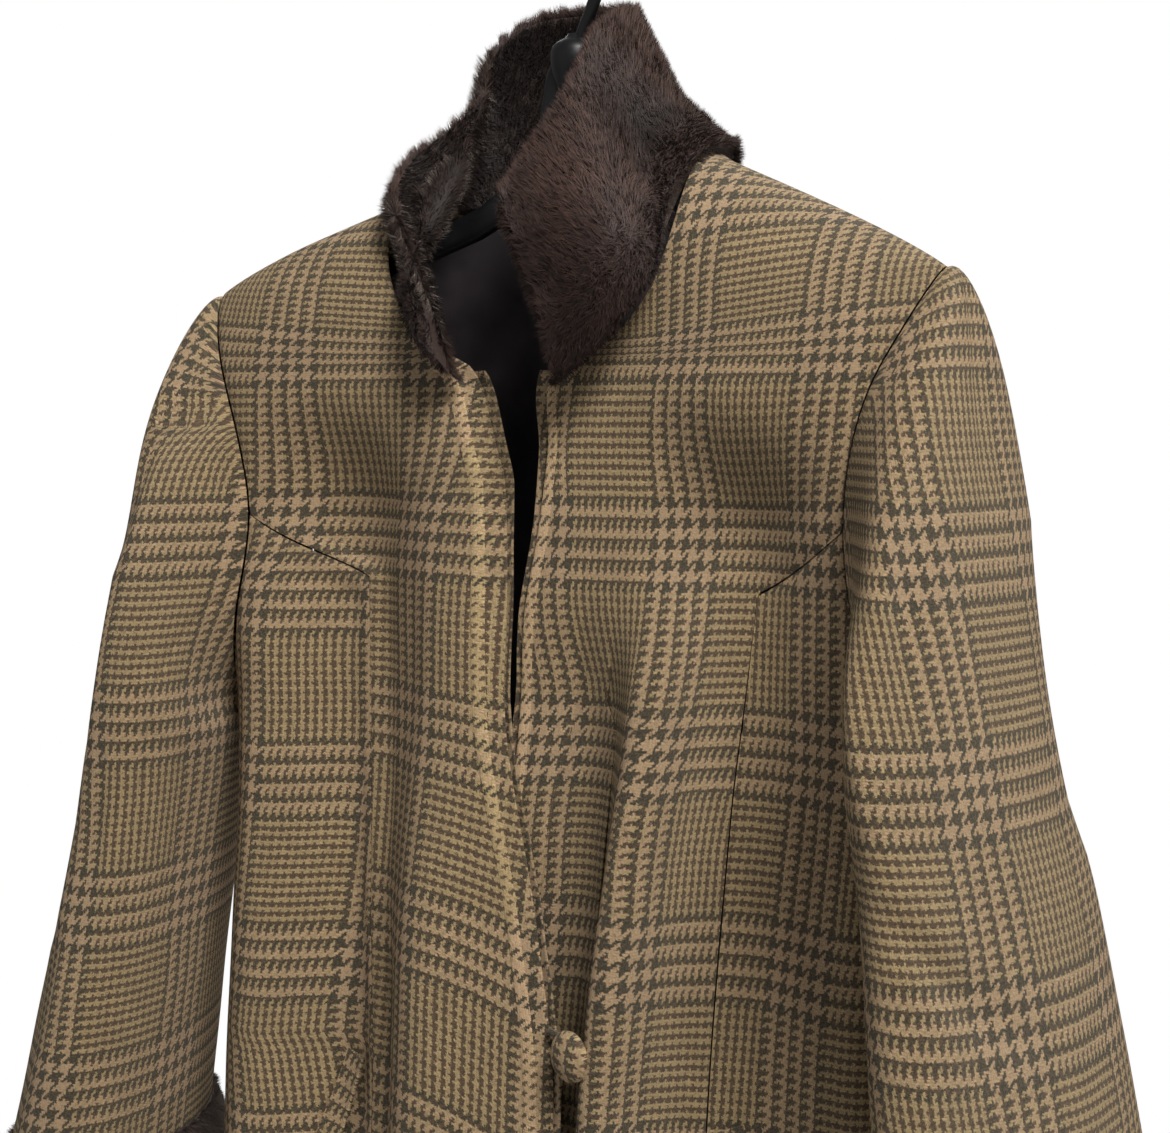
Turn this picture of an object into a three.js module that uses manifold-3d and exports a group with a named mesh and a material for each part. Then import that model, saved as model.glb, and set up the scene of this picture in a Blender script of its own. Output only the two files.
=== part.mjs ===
// A tweed coat with a fur collar and fur cuffs, hanging on a moulded hanger.
// Millimetres, +Z up. The origin is where the hook bears on a rod. The front of the coat faces -Y and the
// wearer's left is +X. Every panel of cloth is a wall of even thickness, laid on one shared surface for the
// body and one for each sleeve, so neighbouring panels meet at their seams.
import * as THREE from 'three';
import { mergeVertices } from 'three/addons/utils/BufferGeometryUtils.js';
import Module from 'manifold-3d';

// ---------------------------------------------------------------- driving dimensions
const CLOTH = 2.0;               // tweed, pressed
const FACING = 1.4;              // tweed facing, turned in along each front edge
const LINING = 1.0;
const SEAM_GAP = 0.3;
const HEM_Z = -1075;
const FACING_ROLL = 3.5;         // how far the facing rolls past the front's edge
const LAP_DIP = 5.2;             // how far the left front lies behind the right one where they lap
const CREST = 60;                // height over which the shoulder rounds over into the chest
const NECK_HALF = 85;            // side neck point, out from the centre
const SHOULDER_HALF = 210;       // shoulder end, out from the centre
const UNDERARM_Z = -400;
const FRONT_NECK_Z = -226;
const BACK_NECK_Z = -140;
const SIDES = [{ name: 'left', sign: 1 }, { name: 'right', sign: -1 }];

// Shoulder line of each side: height at the neck, at mid shoulder and at the shoulder end.
const SHOULDER_LINE = {
  left: { neck: -123, middle: -158, end: -184 },
  right: { neck: -136, middle: -161, end: -184 },
};

// Half width of the body and its depth to the front and to the back of the side seams.
const BODY_SECTIONS = [
  { z: -120, half: 222, front: 44, back: 50 },
  { z: -226, half: 218, front: 50, back: 58 },
  { z: -330, half: 204, front: 57, back: 68 },
  { z: -420, half: 196, front: 62, back: 76 },
  { z: -560, half: 199, front: 74, back: 82 },
  { z: -770, half: 208, front: 88, back: 92 },
  { z: -1075, half: 234, front: 106, back: 108 },
];

// Inner edge of each front, out from the centre: the neck seam, then the front edge. Below the chest the
// right front laps over the left one.
const INNER_EDGE = {
  left: [
    { z: -123, out: 84 }, { z: -158, out: 83 }, { z: -185, out: 76 }, { z: -204, out: 63 },
    { z: -218, out: 44 }, { z: -226, out: 20 }, { z: -268, out: 18 }, { z: -308, out: 14 },
    { z: -351, out: 7 }, { z: -414, out: 2 }, { z: -560, out: -8 }, { z: -1075, out: -10 },
  ],
  right: [
    { z: -136, out: 85 }, { z: -162, out: 84.6 }, { z: -187, out: 76 }, { z: -204, out: 64 },
    { z: -218, out: 48 }, { z: -226, out: 31 }, { z: -266, out: 16 }, { z: -285, out: 10 },
    { z: -376, out: 5 }, { z: -416, out: 1 }, { z: -501, out: -20 }, { z: -590, out: -34 },
    { z: -1075, out: -30 },
  ],
};

// Outer edge of the fronts and of the back: the armhole seam, then the side seam at the full half width.
const ARMHOLE = {
  front: [
    { z: -184, out: 210 }, { z: -212, out: 197 }, { z: -240, out: 184 }, { z: -270, out: 175 },
    { z: -302, out: 171 }, { z: -335, out: 174 }, { z: -365, out: 182 }, { z: -386, out: 190 },
  ],
  back: [
    { z: -184, out: 210 }, { z: -230, out: 198 }, { z: -290, out: 187 }, { z: -345, out: 185 },
    { z: -386, out: 191 },
  ],
};

// The panel seam of each front: from the armhole it runs in to the bust, the first row here, then down.
const SEAM_START_Z = -304;
const PANEL_SEAM = {
  left: [
    { z: -336, out: 121 }, { z: -380, out: 117 }, { z: -440, out: 112 }, { z: -592, out: 108 },
    { z: HEM_Z, out: 108 },
  ],
  right: [
    { z: -336, out: 105 }, { z: -440, out: 100 }, { z: -520, out: 95 }, { z: -592, out: 89 },
    { z: HEM_Z, out: 84 },
  ],
};

// Large folds, as soft ridges and troughs: where each runs, out from the centre, how wide it is and how far
// it pushes the cloth in towards the middle of the coat (a ridge is negative).
const FRONT_FOLDS = {
  left: [
    { topZ: -235, topOut: 116, endZ: -600, endOut: 130, width: 30, push: 30, fade: 70 },
    { topZ: -300, topOut: 94, endZ: -575, endOut: 59, width: 12, push: -15, fade: 90 },
    { topZ: -330, topOut: 46, endZ: -575, endOut: 38, width: 15, push: 11, fade: 80 },
    { topZ: -620, topOut: 170, endZ: -1075, endOut: 186, width: 22, push: 12, fade: 120 },
  ],
  right: [
    { topZ: -235, topOut: 113, endZ: -600, endOut: 106, width: 30, push: 28, fade: 70 },
    { topZ: -300, topOut: 158, endZ: -1075, endOut: 150, width: 20, push: -10, fade: 90 },
    { topZ: -400, topOut: 44, endZ: -1075, endOut: 52, width: 20, push: -9, fade: 110 },
  ],
};
const BACK_FOLDS = [
  { topZ: -300, topOut: -96, endZ: -1075, endOut: -118, width: 30, push: 14, fade: 120 },
  { topZ: -380, topOut: -20, endZ: -1075, endOut: -34, width: 26, push: -10, fade: 160 },
  { topZ: -330, topOut: 84, endZ: -1075, endOut: 112, width: 28, push: 15, fade: 120 },
  { topZ: -520, topOut: 34, endZ: -1075, endOut: 46, width: 20, push: -8, fade: 160 },
];

// Sleeve sections below the cap: centre, half thickness, half depth, and the turn of the section, in
// degrees, that brings its front edge in towards the body.
const SLEEVE_SECTIONS = [
  { z: -425, x: 229, y: -47, thick: 34, deep: 72, turn: 14 },
  { z: -470, x: 239, y: -47, thick: 36, deep: 76, turn: 15 },
  { z: -530, x: 249, y: -51, thick: 39, deep: 80, turn: 16 },
  { z: -590, x: 259, y: -55, thick: 42, deep: 83, turn: 16 },
  { z: -650, x: 270, y: -57, thick: 45, deep: 85, turn: 16 },
  { z: -710, x: 278, y: -58, thick: 46, deep: 86, turn: 16 },
  { z: -770, x: 283, y: -58, thick: 47, deep: 87, turn: 16 },
];
const SLEEVE_END_Z = -768;
const CUFF_TOP_Z = -650;
const CUFF_END_Z = -772;
const CUFF_GAP = 0.6;
const CUFF_REACH = 13;           // how far the fur stands off the sleeve
// How the sleeve cap leaves the armhole: out and up at the shoulder and at the underarm, forward or back at
// its sides, how far it runs on that way, and how high above the first section it has turned down.
const CAP = {
  topOut: 1, topUp: 0.16, topReach: 16, topSettle: 146,
  underOut: 0.5, underUp: -0.86, underReach: 9, underSettle: 8,
  edgeForward: 0.9, edgeReach: 30, lean: 0.2,
};
const SLEEVE_SEAM_TURN = 0.9;    // degrees of turn round a sleeve to a millimetre along it
const SEAM_FRONT = 118;          // sleeve seams, in degrees round the sleeve from its outer line, front first
const SEAM_BACK = 238;

// The fur collar by its sections, from the right front end round the back to the left front end: the middle
// of its lower edge, of its free edge, and how far the middle of its height bows out.
const COLLAR = [
  { x: -33, y: -59, z: -224, topX: -72, topY: -52, topZ: -150, bow: 0 },
  { x: -53, y: -60, z: -208, topX: -83, topY: -40, topZ: -138, bow: -3 },
  { x: -67.5, y: -52, z: -179, topX: -90, topY: -14, topZ: -119, bow: -12 },
  { x: -71.5, y: -24, z: -140, topX: -87, topY: 12, topZ: -103.5, bow: -12.5 },
  { x: -78, y: 8, z: -133, topX: -77, topY: 36, topZ: -80, bow: 0 },
  { x: -66, y: 29, z: -135.8, topX: -78, topY: 50, topZ: -53, bow: 5 },
  { x: -37, y: 43, z: -137, topX: -57, topY: 60, topZ: -37, bow: 6 },
  { x: 0, y: 49, z: -138.6, topX: -26, topY: 62, topZ: -35, bow: 6 },
  { x: 38, y: 43, z: -131, topX: 1, topY: 55, topZ: -38, bow: 4 },
  { x: 66, y: 28, z: -123, topX: 17, topY: 28, topZ: -46, bow: -2 },
  { x: 79, y: 4, z: -120, topX: 24, topY: -10, topZ: -61, bow: -4 },
  { x: 79, y: -30, z: -138, topX: 22, topY: -26, topZ: -83, bow: -5 },
  { x: 73, y: -54, z: -181, topX: 18, topY: -44, topZ: -110, bow: 8 },
  { x: 57, y: -60, z: -206, topX: 10, topY: -60, topZ: -132, bow: 6 },
  { x: 32, y: -61, z: -226, topX: 3, topY: -70, topZ: -149, bow: 2 },
];
const COLLAR_THICK = 15;
const COLLAR_MIDDLE_Y = 5;

const BUTTON = { out: 52, z: -557, radius: 12.5, height: 8.5, shank: 3, stem: 5, turn: 19, clear: 1.6 };
const LOOP = { radius: 1.9, half: 7 };
const POCKET = { topZ: -592, endZ: -728, slant: 49, width: 14, thick: 2.4, clear: 1.9 };
const POCKET_TOP_OUT = { left: 111, right: 93 };

const HOOK = { wire: 3.2, bend: 22.2, tip: 205 };

// The hanger's moulded arms: how high their top stands at each distance out, and how tall they are.
const HANGER_ARMS = [
  { out: 0, topZ: -66, tall: 64 }, { out: 8, topZ: -68, tall: 62 }, { out: 12, topZ: -77, tall: 54 },
  { out: 17, topZ: -110, tall: 23 }, { out: 32, topZ: -130, tall: 18 }, { out: 54, topZ: -143, tall: 16 },
  { out: 80, topZ: -153, tall: 15 }, { out: 110, topZ: -166, tall: 14 }, { out: 150, topZ: -180, tall: 13 },
  { out: 184, topZ: -191, tall: 12 }, { out: 196, topZ: -196, tall: 8 },
];
const HANGER_THICK = 11;

// ---------------------------------------------------------------- small helpers
const lerp = (a, b, t) => a + (b - a) * t;
const clamp01 = (t) => Math.min(1, Math.max(0, t));
const smooth = (t) => clamp01(t) ** 2 * (3 - 2 * clamp01(t));
const radians = (degrees) => (degrees * Math.PI) / 180;

// A smooth curve through one column of a table whose rows go down in z.
function along(rows, z, column) {
  if (z >= rows[0].z) return rows[0][column];
  const last = rows.length - 1;
  if (z <= rows[last].z) return rows[last][column];
  const i = rows.findIndex((row, k) => z <= row.z && z >= rows[k + 1].z);
  const slope = (k) => {
    const a = rows[Math.max(0, k - 1)];
    const b = rows[Math.min(last, k + 1)];
    return (b[column] - a[column]) / (b.z - a.z);
  };
  const step = rows[i + 1].z - rows[i].z;
  const t = (z - rows[i].z) / step;
  const h = t * t * (3 - 2 * t);
  const ease = t * (1 - t);
  return lerp(rows[i][column], rows[i + 1][column], h)
    + step * (slope(i) * ease * (1 - t) - slope(i + 1) * ease * t);
}

// ---------------------------------------------------------------- walls from a surface
// at(u, v) is a point of the surface. The wall lies between inner and outer, both measured along the normal,
// which is turned by flip where u and v run the other way round.
function normalAt(at, u, v, flip) {
  const e = 1e-3;
  const du = new THREE.Vector3().subVectors(at(u + e, v), at(u - e, v));
  const dv = new THREE.Vector3().subVectors(at(u, v + e), at(u, v - e));
  return du.cross(dv).normalize().multiplyScalar(flip ? -1 : 1);
}

function wall({ at, us, vs, inner, outer, flip = false, closed = false }) {
  const positions = [];
  const sideOf = (offset) => {
    const first = positions.length / 3;
    for (const v of vs) {
      for (const u of us) {
        const reach = typeof offset === 'function' ? offset(u, v) : offset;
        const p = at(u, v).addScaledVector(normalAt(at, u, v, flip), reach);
        positions.push(p.x, p.y, p.z);
      }
    }
    return first;
  };
  const out = sideOf(outer);
  const into = sideOf(inner);
  const nu = us.length;
  const nv = vs.length;
  const index = [];
  const quad = (a, b, c, d) => index.push(...(flip ? [a, c, b, a, d, c] : [a, b, c, a, c, d]));
  const spans = closed ? nu : nu - 1;
  for (let j = 0; j < nv - 1; j += 1) {
    for (let i = 0; i < spans; i += 1) {
      const a = j * nu + i;
      const b = j * nu + ((i + 1) % nu);
      quad(out + a, out + b, out + b + nu, out + a + nu);
      quad(into + a, into + a + nu, into + b + nu, into + b);
    }
    if (!closed) {
      const s = j * nu;
      const e = s + nu - 1;
      quad(out + s, out + s + nu, into + s + nu, into + s);
      quad(out + e, into + e, into + e + nu, out + e + nu);
    }
  }
  for (let i = 0; i < spans; i += 1) {
    const k = (i + 1) % nu;
    const t = (nv - 1) * nu;
    quad(out + i, into + i, into + k, out + k);
    quad(out + t + i, out + t + k, into + t + k, into + t + i);
  }
  const geometry = new THREE.BufferGeometry();
  geometry.setAttribute('position', new THREE.Float32BufferAttribute(positions, 3));
  geometry.setIndex(index);
  geometry.computeVertexNormals();
  return geometry;
}

const steps = (from, to, count) => Array.from({ length: count + 1 }, (_, i) => lerp(from, to, i / count));

// ---------------------------------------------------------------- the body surface
// Heights on a body panel are measured from the shoulder by a row measure w: an angle over the shoulder
// crest, which then runs straight on down to the hem.
const dropOf = (w) => CREST * (w < Math.PI / 2 ? 1 - Math.cos(w) : 1 + w - Math.PI / 2);
const roundOf = (w) => (w < Math.PI / 2 ? Math.sin(w) : 1);
const rowOf = (drop) => (drop < CREST ? Math.acos(1 - drop / CREST) : drop / CREST - 1 + Math.PI / 2);
const FULL_DROP = 900;
const ROW_END = rowOf(FULL_DROP);

function shoulderZ(side, out) {
  const line = SHOULDER_LINE[side.name];
  const t = clamp01((out - NECK_HALF) / (SHOULDER_HALF - NECK_HALF));
  const bow = line.middle - (line.neck + line.end) / 2;
  return lerp(line.neck, line.end, t) + bow * 4 * t * (1 - t);
}

const heightOf = (top, w) => top - (dropOf(w) / FULL_DROP) * (top - HEM_Z);
const rowAt = (top, z) => rowOf(Math.max(0, (top - z) / (top - HEM_Z)) * FULL_DROP);

// The side seams and shoulder ends lie a little forward of the middle.
const middleY = (out) => -22 * Math.min(1, Math.abs(out) / SHOULDER_HALF) ** 2;

function foldPush(folds, out, z) {
  return folds.reduce((sum, fold) => {
    const t = clamp01((z - fold.topZ) / (fold.endZ - fold.topZ));
    const centre = lerp(fold.topOut, fold.endOut, t);
    const strength = smooth((fold.topZ - z) / fold.fade);
    return sum + fold.push * strength * Math.exp(-0.5 * ((out - centre) / fold.width) ** 2);
  }, 0);
}

// The left front dips under the lap of the right one.
const underlap = (side, out, z) => (side.sign > 0
  ? LAP_DIP * smooth((62 - out) / 26) * smooth((-340 - z) / 60)
  : 0);

// One horizontal section of the body is a rounded oblong: at the angle turn, 0 at the centre and a quarter
// circle at the side seam, it is half * sin(turn) out and depth * cos(turn) * sqrt(1 + sin(turn)^2) deep.
const sectionTurn = (out, half) => Math.asin(Math.max(-1, Math.min(1, out / half)));
const sectionDepth = (turn) => Math.cos(turn) * Math.sqrt(1 + Math.sin(turn) ** 2);

function outerTurn(face, z) {
  const half = along(BODY_SECTIONS, z, 'half');
  const rows = [...ARMHOLE[face], { z: UNDERARM_Z, out: along(BODY_SECTIONS, UNDERARM_Z, 'half') }];
  return z > UNDERARM_Z ? sectionTurn(along(rows, z, 'out'), half) : Math.PI / 2;
}

function frontAtTurn(side, turn, z, round) {
  const half = along(BODY_SECTIONS, z, 'half');
  const out = half * Math.sin(turn);
  const full = along(BODY_SECTIONS, z, 'front') * sectionDepth(turn);
  const fade = smooth((half - Math.abs(out)) / 30);
  const push = foldPush(FRONT_FOLDS[side.name], out, z) * fade + underlap(side, out, z);
  return new THREE.Vector3(side.sign * out, middleY(out) - (full - push) * round, z);
}

// A point of a front, given by its distance out from the centre and its height.
function frontAt(side, out, z) {
  const top = shoulderZ(side, Math.max(NECK_HALF, out));
  const half = along(BODY_SECTIONS, z, 'half');
  return frontAtTurn(side, sectionTurn(out, half), z, roundOf(rowAt(top, z)));
}

// A point of a front, given by its column f, from the inner edge (0) to the armhole and side seam (1), and
// its row w.
const frontTop = (side, f) => shoulderZ(side, lerp(NECK_HALF, SHOULDER_HALF, clamp01(f)));

function frontPoint(side, f, w) {
  const z = heightOf(frontTop(side, f), w);
  const half = along(BODY_SECTIONS, z, 'half');
  const inner = sectionTurn(along(INNER_EDGE[side.name], z, 'out'), half);
  return frontAtTurn(side, lerp(inner, outerTurn('front', z), f), z, roundOf(w));
}

function frontColumn(side, out, z) {
  const half = along(BODY_SECTIONS, z, 'half');
  const inner = sectionTurn(along(INNER_EDGE[side.name], z, 'out'), half);
  return (sectionTurn(out, half) - inner) / (outerTurn('front', z) - inner);
}

// A point of the back: f runs from the right side (-1) to the left (1). Its top edge is the back neck
// between the two shoulder lines.
function backPoint(f, w) {
  const side = f < 0 ? SIDES[1] : SIDES[0];
  const out = Math.abs(f) * SHOULDER_HALF;
  const neck = clamp01(1 - out / NECK_HALF);
  const scoop = Math.sqrt(1 - (1 - neck) ** 2);
  const neckTop = lerp(SHOULDER_LINE[side.name].neck, BACK_NECK_Z, smooth(neck));
  const top = out < NECK_HALF ? neckTop : shoulderZ(side, out);
  const z = heightOf(top, w);
  const half = along(BODY_SECTIONS, z, 'half');
  const shoulderTurn = sectionTurn(SHOULDER_HALF, half);
  const evenTurn = sectionTurn(f * SHOULDER_HALF, half) / shoulderTurn;
  const turn = lerp(evenTurn, f, smooth((top - z) / 200)) * outerTurn('back', z);
  const x = half * Math.sin(turn);
  const round = Math.sqrt(1 - (1 - roundOf(w) ** 2) * (1 - scoop ** 2));
  const fade = smooth((half - Math.abs(x)) / 30);
  const full = along(BODY_SECTIONS, z, 'back') * sectionDepth(turn);
  return new THREE.Vector3(x, middleY(x) + (full - foldPush(BACK_FOLDS, x, z) * fade) * round, z);
}

// ---------------------------------------------------------------- body panels
// Rows of the body panels, by their height at the armhole and side seam.
const ROW_HEIGHTS = [
  -189, -202, -224, -250, -274.5, SEAM_START_Z, -334, -362, -384, UNDERARM_Z,
  -440, -500, -575, -665, -770, -900, HEM_Z,
];
const SEAM_ROW = 0.0075;          // where the shoulder seam starts, just off the crest
const EDGE = 0.0011;              // half a seam gap, as a share of a panel's columns
const armholeRow = (z) => rowAt(SHOULDER_LINE.left.end, z);
const ROWS = [SEAM_ROW, ...ROW_HEIGHTS.map(armholeRow)];

// The panel seam in columns and rows: it leaves the armhole at startRow and turns down at the bust.
// A row's height depends a little on its column, so below the bust the two are settled in a few passes.
const SEAM_PASSES = 6;

function panelSeam(side) {
  const line = PANEL_SEAM[side.name];
  const bustColumn = frontColumn(side, line[0].out, line[0].z);
  const startRow = armholeRow(SEAM_START_Z);
  const bustRow = rowAt(frontTop(side, bustColumn), line[0].z);
  const columnAt = (w) => {
    if (w <= startRow) return 1;
    if (w <= bustRow) return lerp(1, bustColumn, (w - startRow) / (bustRow - startRow));
    let column = bustColumn;
    for (let pass = 0; pass < SEAM_PASSES; pass++) {
      const z = heightOf(frontTop(side, column), w);
      column = frontColumn(side, along(line, z, 'out'), z);
    }
    return column;
  };
  return { bustColumn, startRow, bustRow, columnAt };
}

function frontGrid(side) {
  const seam = panelSeam(side);
  const retreat = (w) => (w > seam.startRow && w < seam.bustRow + 0.01 ? 2.4 : 1) * EDGE;
  return {
    at: (u, w) => frontPoint(side, u * (seam.columnAt(w) - retreat(w)), w),
    us: steps(0, 1, 8),
    vs: [...ROWS, seam.bustRow].sort((a, b) => a - b),
  };
}

function sideFrontGrid(side) {
  const seam = panelSeam(side);
  const share = (w) => (w - seam.bustRow) / (ROW_END - seam.bustRow);
  const fromAt = (w) => (w < seam.bustRow ? seam.bustColumn : seam.columnAt(w)) + 1.2 * EDGE;
  return {
    at: (u, v) => {
      const w = lerp(lerp(seam.bustRow, seam.startRow, u) + 0.012, ROW_END, v);
      return frontPoint(side, lerp(fromAt(w), 1 - EDGE, u), w);
    },
    us: steps(0, 1, 6),
    vs: [0, ...ROWS.filter((w) => w > armholeRow(-350)).map(share)],
    placeOf: (out, z) => {
      const column = frontColumn(side, out, z);
      const w = rowAt(frontTop(side, column), z);
      const from = fromAt(w);
      const u = (column - from) / (1 - EDGE - from);
      const first = lerp(seam.bustRow, seam.startRow, u) + 0.012;
      return [u, (w - first) / (ROW_END - first)];
    },
  };
}

const onBody = (grid, side) => wall({ ...grid, inner: -CLOTH, outer: 0, flip: side.sign > 0 });

const BACK_COLUMNS = [0, 0.12, 0.24, 0.33, 0.385, 0.41, 0.5, 0.6, 0.7, 0.8, 0.9, 1 - EDGE];

function backPanel() {
  const half = BACK_COLUMNS.slice(1);
  return wall({
    at: backPoint,
    us: [...half.map((f) => -f).reverse(), ...BACK_COLUMNS],
    vs: ROWS,
    inner: -CLOTH,
    outer: 0,
  });
}

function backLining() {
  const inside = -CLOTH - 0.6;
  const half = BACK_COLUMNS.slice(1, -1);
  return wall({
    at: backPoint,
    us: [...half.map((f) => -f).reverse(), ...BACK_COLUMNS.slice(0, -1)],
    vs: ROWS.slice(1),
    inner: inside - LINING,
    outer: inside,
  });
}

// The facing lies inside its front, on the front's own columns, and rolls a little past the front's edge.
function facing(side) {
  const inside = -CLOTH - SEAM_GAP;
  const { at, us, vs } = frontGrid(side);
  return wall({
    at,
    us: [-FACING_ROLL / 110, ...us.slice(0, 4)],
    vs: vs.filter((w) => heightOf(frontTop(side, 0), w) < FRONT_NECK_Z - 1),
    inner: inside - FACING,
    outer: inside,
    flip: side.sign > 0,
  });
}

// The flat facet of a panel's grid that holds (u, v), as a function that gives the point on it.
function onFacets({ at, us, vs }) {
  const cell = (list, t) => Math.max(0, Math.min(list.length - 2, list.findLastIndex((x) => x <= t)));
  return (u, v) => {
    const [i, j] = [cell(us, u), cell(vs, v)];
    const s = (u - us[i]) / (us[i + 1] - us[i]);
    const t = (v - vs[j]) / (vs[j + 1] - vs[j]);
    const near = at(us[i], vs[j]);
    const far = at(us[i + 1], vs[j + 1]);
    const corner = s > t ? at(us[i + 1], vs[j]) : at(us[i], vs[j + 1]);
    const [first, second] = s > t ? [s, t] : [t, s];
    const point = near.clone().addScaledVector(corner.clone().sub(near), first);
    return point.addScaledVector(far.clone().sub(corner), second);
  };
}

function pocketWelt(side) {
  const topOut = POCKET_TOP_OUT[side.name];
  const length = Math.hypot(POCKET.slant, POCKET.endZ - POCKET.topZ);
  const across = [(POCKET.topZ - POCKET.endZ) / length, POCKET.slant / length];
  const panel = sideFrontGrid(side);
  const onPanel = onFacets(panel);
  return wall({
    at: (u, v) => {
      const out = topOut + POCKET.slant * v + u * across[0];
      const z = lerp(POCKET.topZ, POCKET.endZ, v) + u * across[1];
      return onPanel(...panel.placeOf(out, z));
    },
    us: steps(0, POCKET.width, 3),
    vs: steps(0, 1, 18),
    inner: POCKET.clear,
    outer: POCKET.clear + POCKET.thick,
    flip: side.sign > 0,
  });
}

// ---------------------------------------------------------------- sleeves and fur cuffs
// Round a sleeve, 0 degrees is its outer line, 90 its front, 180 its inner line and 270 its back.
function armholePoint(side, angle) {
  const share = (1 - Math.cos(radians(angle))) / 2;
  const z = lerp(SHOULDER_LINE.left.end, UNDERARM_Z, share);
  const w = armholeRow(z);
  return Math.sin(radians(angle)) >= 0 ? frontPoint(side, 1, w) : backPoint(side.sign, w);
}

function sleeveRing(side, angle, z) {
  const [thick, deep, x, y, turn] = ['thick', 'deep', 'x', 'y', 'turn']
    .map((column) => along(SLEEVE_SECTIONS, z, column));
  const outward = thick * Math.cos(radians(angle));
  const forward = deep * Math.sin(radians(angle));
  const c = Math.cos(radians(turn));
  const s = Math.sin(radians(turn));
  return new THREE.Vector3(
    side.sign * (x + outward * c - forward * s),
    y - outward * s - forward * c,
    z,
  );
}

// The cap leaves the armhole outward and turns down into the first ring.
function sleevePoint(side, angle, v) {
  const firstZ = SLEEVE_SECTIONS[0].z;
  if (v > 1) return sleeveRing(side, angle, lerp(firstZ, SLEEVE_END_Z, v - 1));
  const top = (1 + Math.cos(radians(angle))) / 2;
  const edge = Math.sin(radians(angle));
  const from = armholePoint(side, angle);
  const to = sleeveRing(side, angle, firstZ);
  const leave = new THREE.Vector3(
    side.sign * lerp(CAP.underOut, CAP.topOut, top),
    -edge * CAP.edgeForward,
    lerp(CAP.underUp, CAP.topUp, top),
  );
  from.addScaledVector(leave.clone().normalize(), SEAM_GAP * 2);
  const reach = lerp(CAP.underReach, CAP.topReach, top ** 2) + CAP.edgeReach * Math.abs(edge);
  const settle = lerp(CAP.underSettle, CAP.topSettle, top);
  const curve = new THREE.CubicBezierCurve3(
    from,
    from.clone().addScaledVector(leave, reach),
    to.clone().add(new THREE.Vector3(-side.sign * settle * CAP.lean, 0, settle)),
    to,
  );
  return curve.getPoint(v);
}

const CAP_ROWS = [0, 0.06, 0.16, 0.3, 0.46, 0.64, 0.82, 1];
const SLEEVE_ROWS = [...CAP_ROWS, 1.16, 1.33, 1.5, 1.67, 1.84, 2];

function sleevePanel(side, fromAngle, toAngle, count) {
  return wall({
    at: (angle, v) => sleevePoint(side, angle, v),
    us: steps(fromAngle, toAngle, count),
    vs: SLEEVE_ROWS,
    inner: -CLOTH,
    outer: 0,
    flip: side.sign < 0,
  });
}

function furCuff(side) {
  const rowAtZ = (z) => 1 + (z - SLEEVE_SECTIONS[0].z) / (SLEEVE_END_Z - SLEEVE_SECTIONS[0].z);
  const top = rowAtZ(CUFF_TOP_Z);
  const end = rowAtZ(CUFF_END_Z);
  const middle = (top + end) / 2;
  return wall({
    at: (angle, v) => sleevePoint(side, angle, v),
    us: steps(SEAM_BACK - 360, SEAM_BACK, 21).slice(0, -1),
    vs: [top, top + 0.015, 1.72, 1.84, 1.94, end - 0.015, end],
    inner: CUFF_GAP,
    outer: (angle, v) => {
      const away = Math.abs(v - middle) / (middle - top);
      return CUFF_GAP + CUFF_REACH * Math.sqrt(1 - 0.8 * away ** 6);
    },
    flip: side.sign < 0,
    closed: true,
  });
}

// ---------------------------------------------------------------- fur collar
function collarRow(s) {
  const i = Math.min(COLLAR.length - 2, Math.max(0, Math.floor(s)));
  const t = s - i;
  const row = (k) => COLLAR[Math.min(COLLAR.length - 1, Math.max(0, k))];
  const [a, b, c, d] = [row(i - 1), row(i), row(i + 1), row(i + 2)];
  const mix = (column) => b[column] + 0.5 * t * (c[column] - a[column]
    + t * (2 * a[column] - 5 * b[column] + 4 * c[column] - d[column]
    + t * (3 * (b[column] - c[column]) + d[column] - a[column])));
  return Object.fromEntries(Object.keys(b).map((column) => [column, mix(column)]));
}

function collarPoint(s, h) {
  const row = collarRow(s);
  const base = new THREE.Vector3(row.x, row.y, row.z);
  const top = new THREE.Vector3(row.topX, row.topY, row.topZ);
  const outward = new THREE.Vector3(row.x, row.y - COLLAR_MIDDLE_Y, 0).normalize();
  return base.lerp(top, h).addScaledVector(outward, row.bow * 4 * h * (1 - h));
}

function furCollar() {
  const ends = COLLAR.length - 1;
  const half = (s, h) => {
    const end = smooth(Math.min(s, ends - s) / 0.35);
    const free = Math.sqrt(Math.max(0, 1 - Math.max(0, (h - 0.7) / 0.3) ** 3));
    const base = smooth((h + 0.06) / 0.26);
    return (COLLAR_THICK / 2) * (0.55 + 0.45 * Math.min(end, free, base));
  };
  return wall({
    at: collarPoint,
    us: [0, 0.12, 0.35, ...steps(0.8, ends - 0.8, 26), ends - 0.35, ends - 0.12, ends],
    vs: [0, 0.12, 0.35, 0.6, 0.8, 0.92, 1],
    inner: (s, h) => -half(s, h),
    outer: (s, h) => half(s, h),
    flip: false,
  });
}

// ---------------------------------------------------------------- button, loop and hanger
function roundBar(points, radius, count, sides) {
  const shape = new THREE.Shape();
  shape.absarc(0, 0, radius, 0, 2 * Math.PI);
  const path = new THREE.CatmullRomCurve3(points);
  return new THREE.ExtrudeGeometry(shape, { extrudePath: path, steps: count, curveSegments: sides });
}

const LEFT = SIDES[0];
const RIGHT = SIDES[1];

// The button stands on a short stem from the left front and faces a little towards the right.
function buttonFrame() {
  const seat = frontAt(LEFT, BUTTON.out, BUTTON.z);
  const facingOut = new THREE.Vector3(-Math.sin(radians(BUTTON.turn)), -Math.cos(radians(BUTTON.turn)), 0);
  return { seat: seat.addScaledVector(facingOut, BUTTON.clear), facingOut };
}

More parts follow.
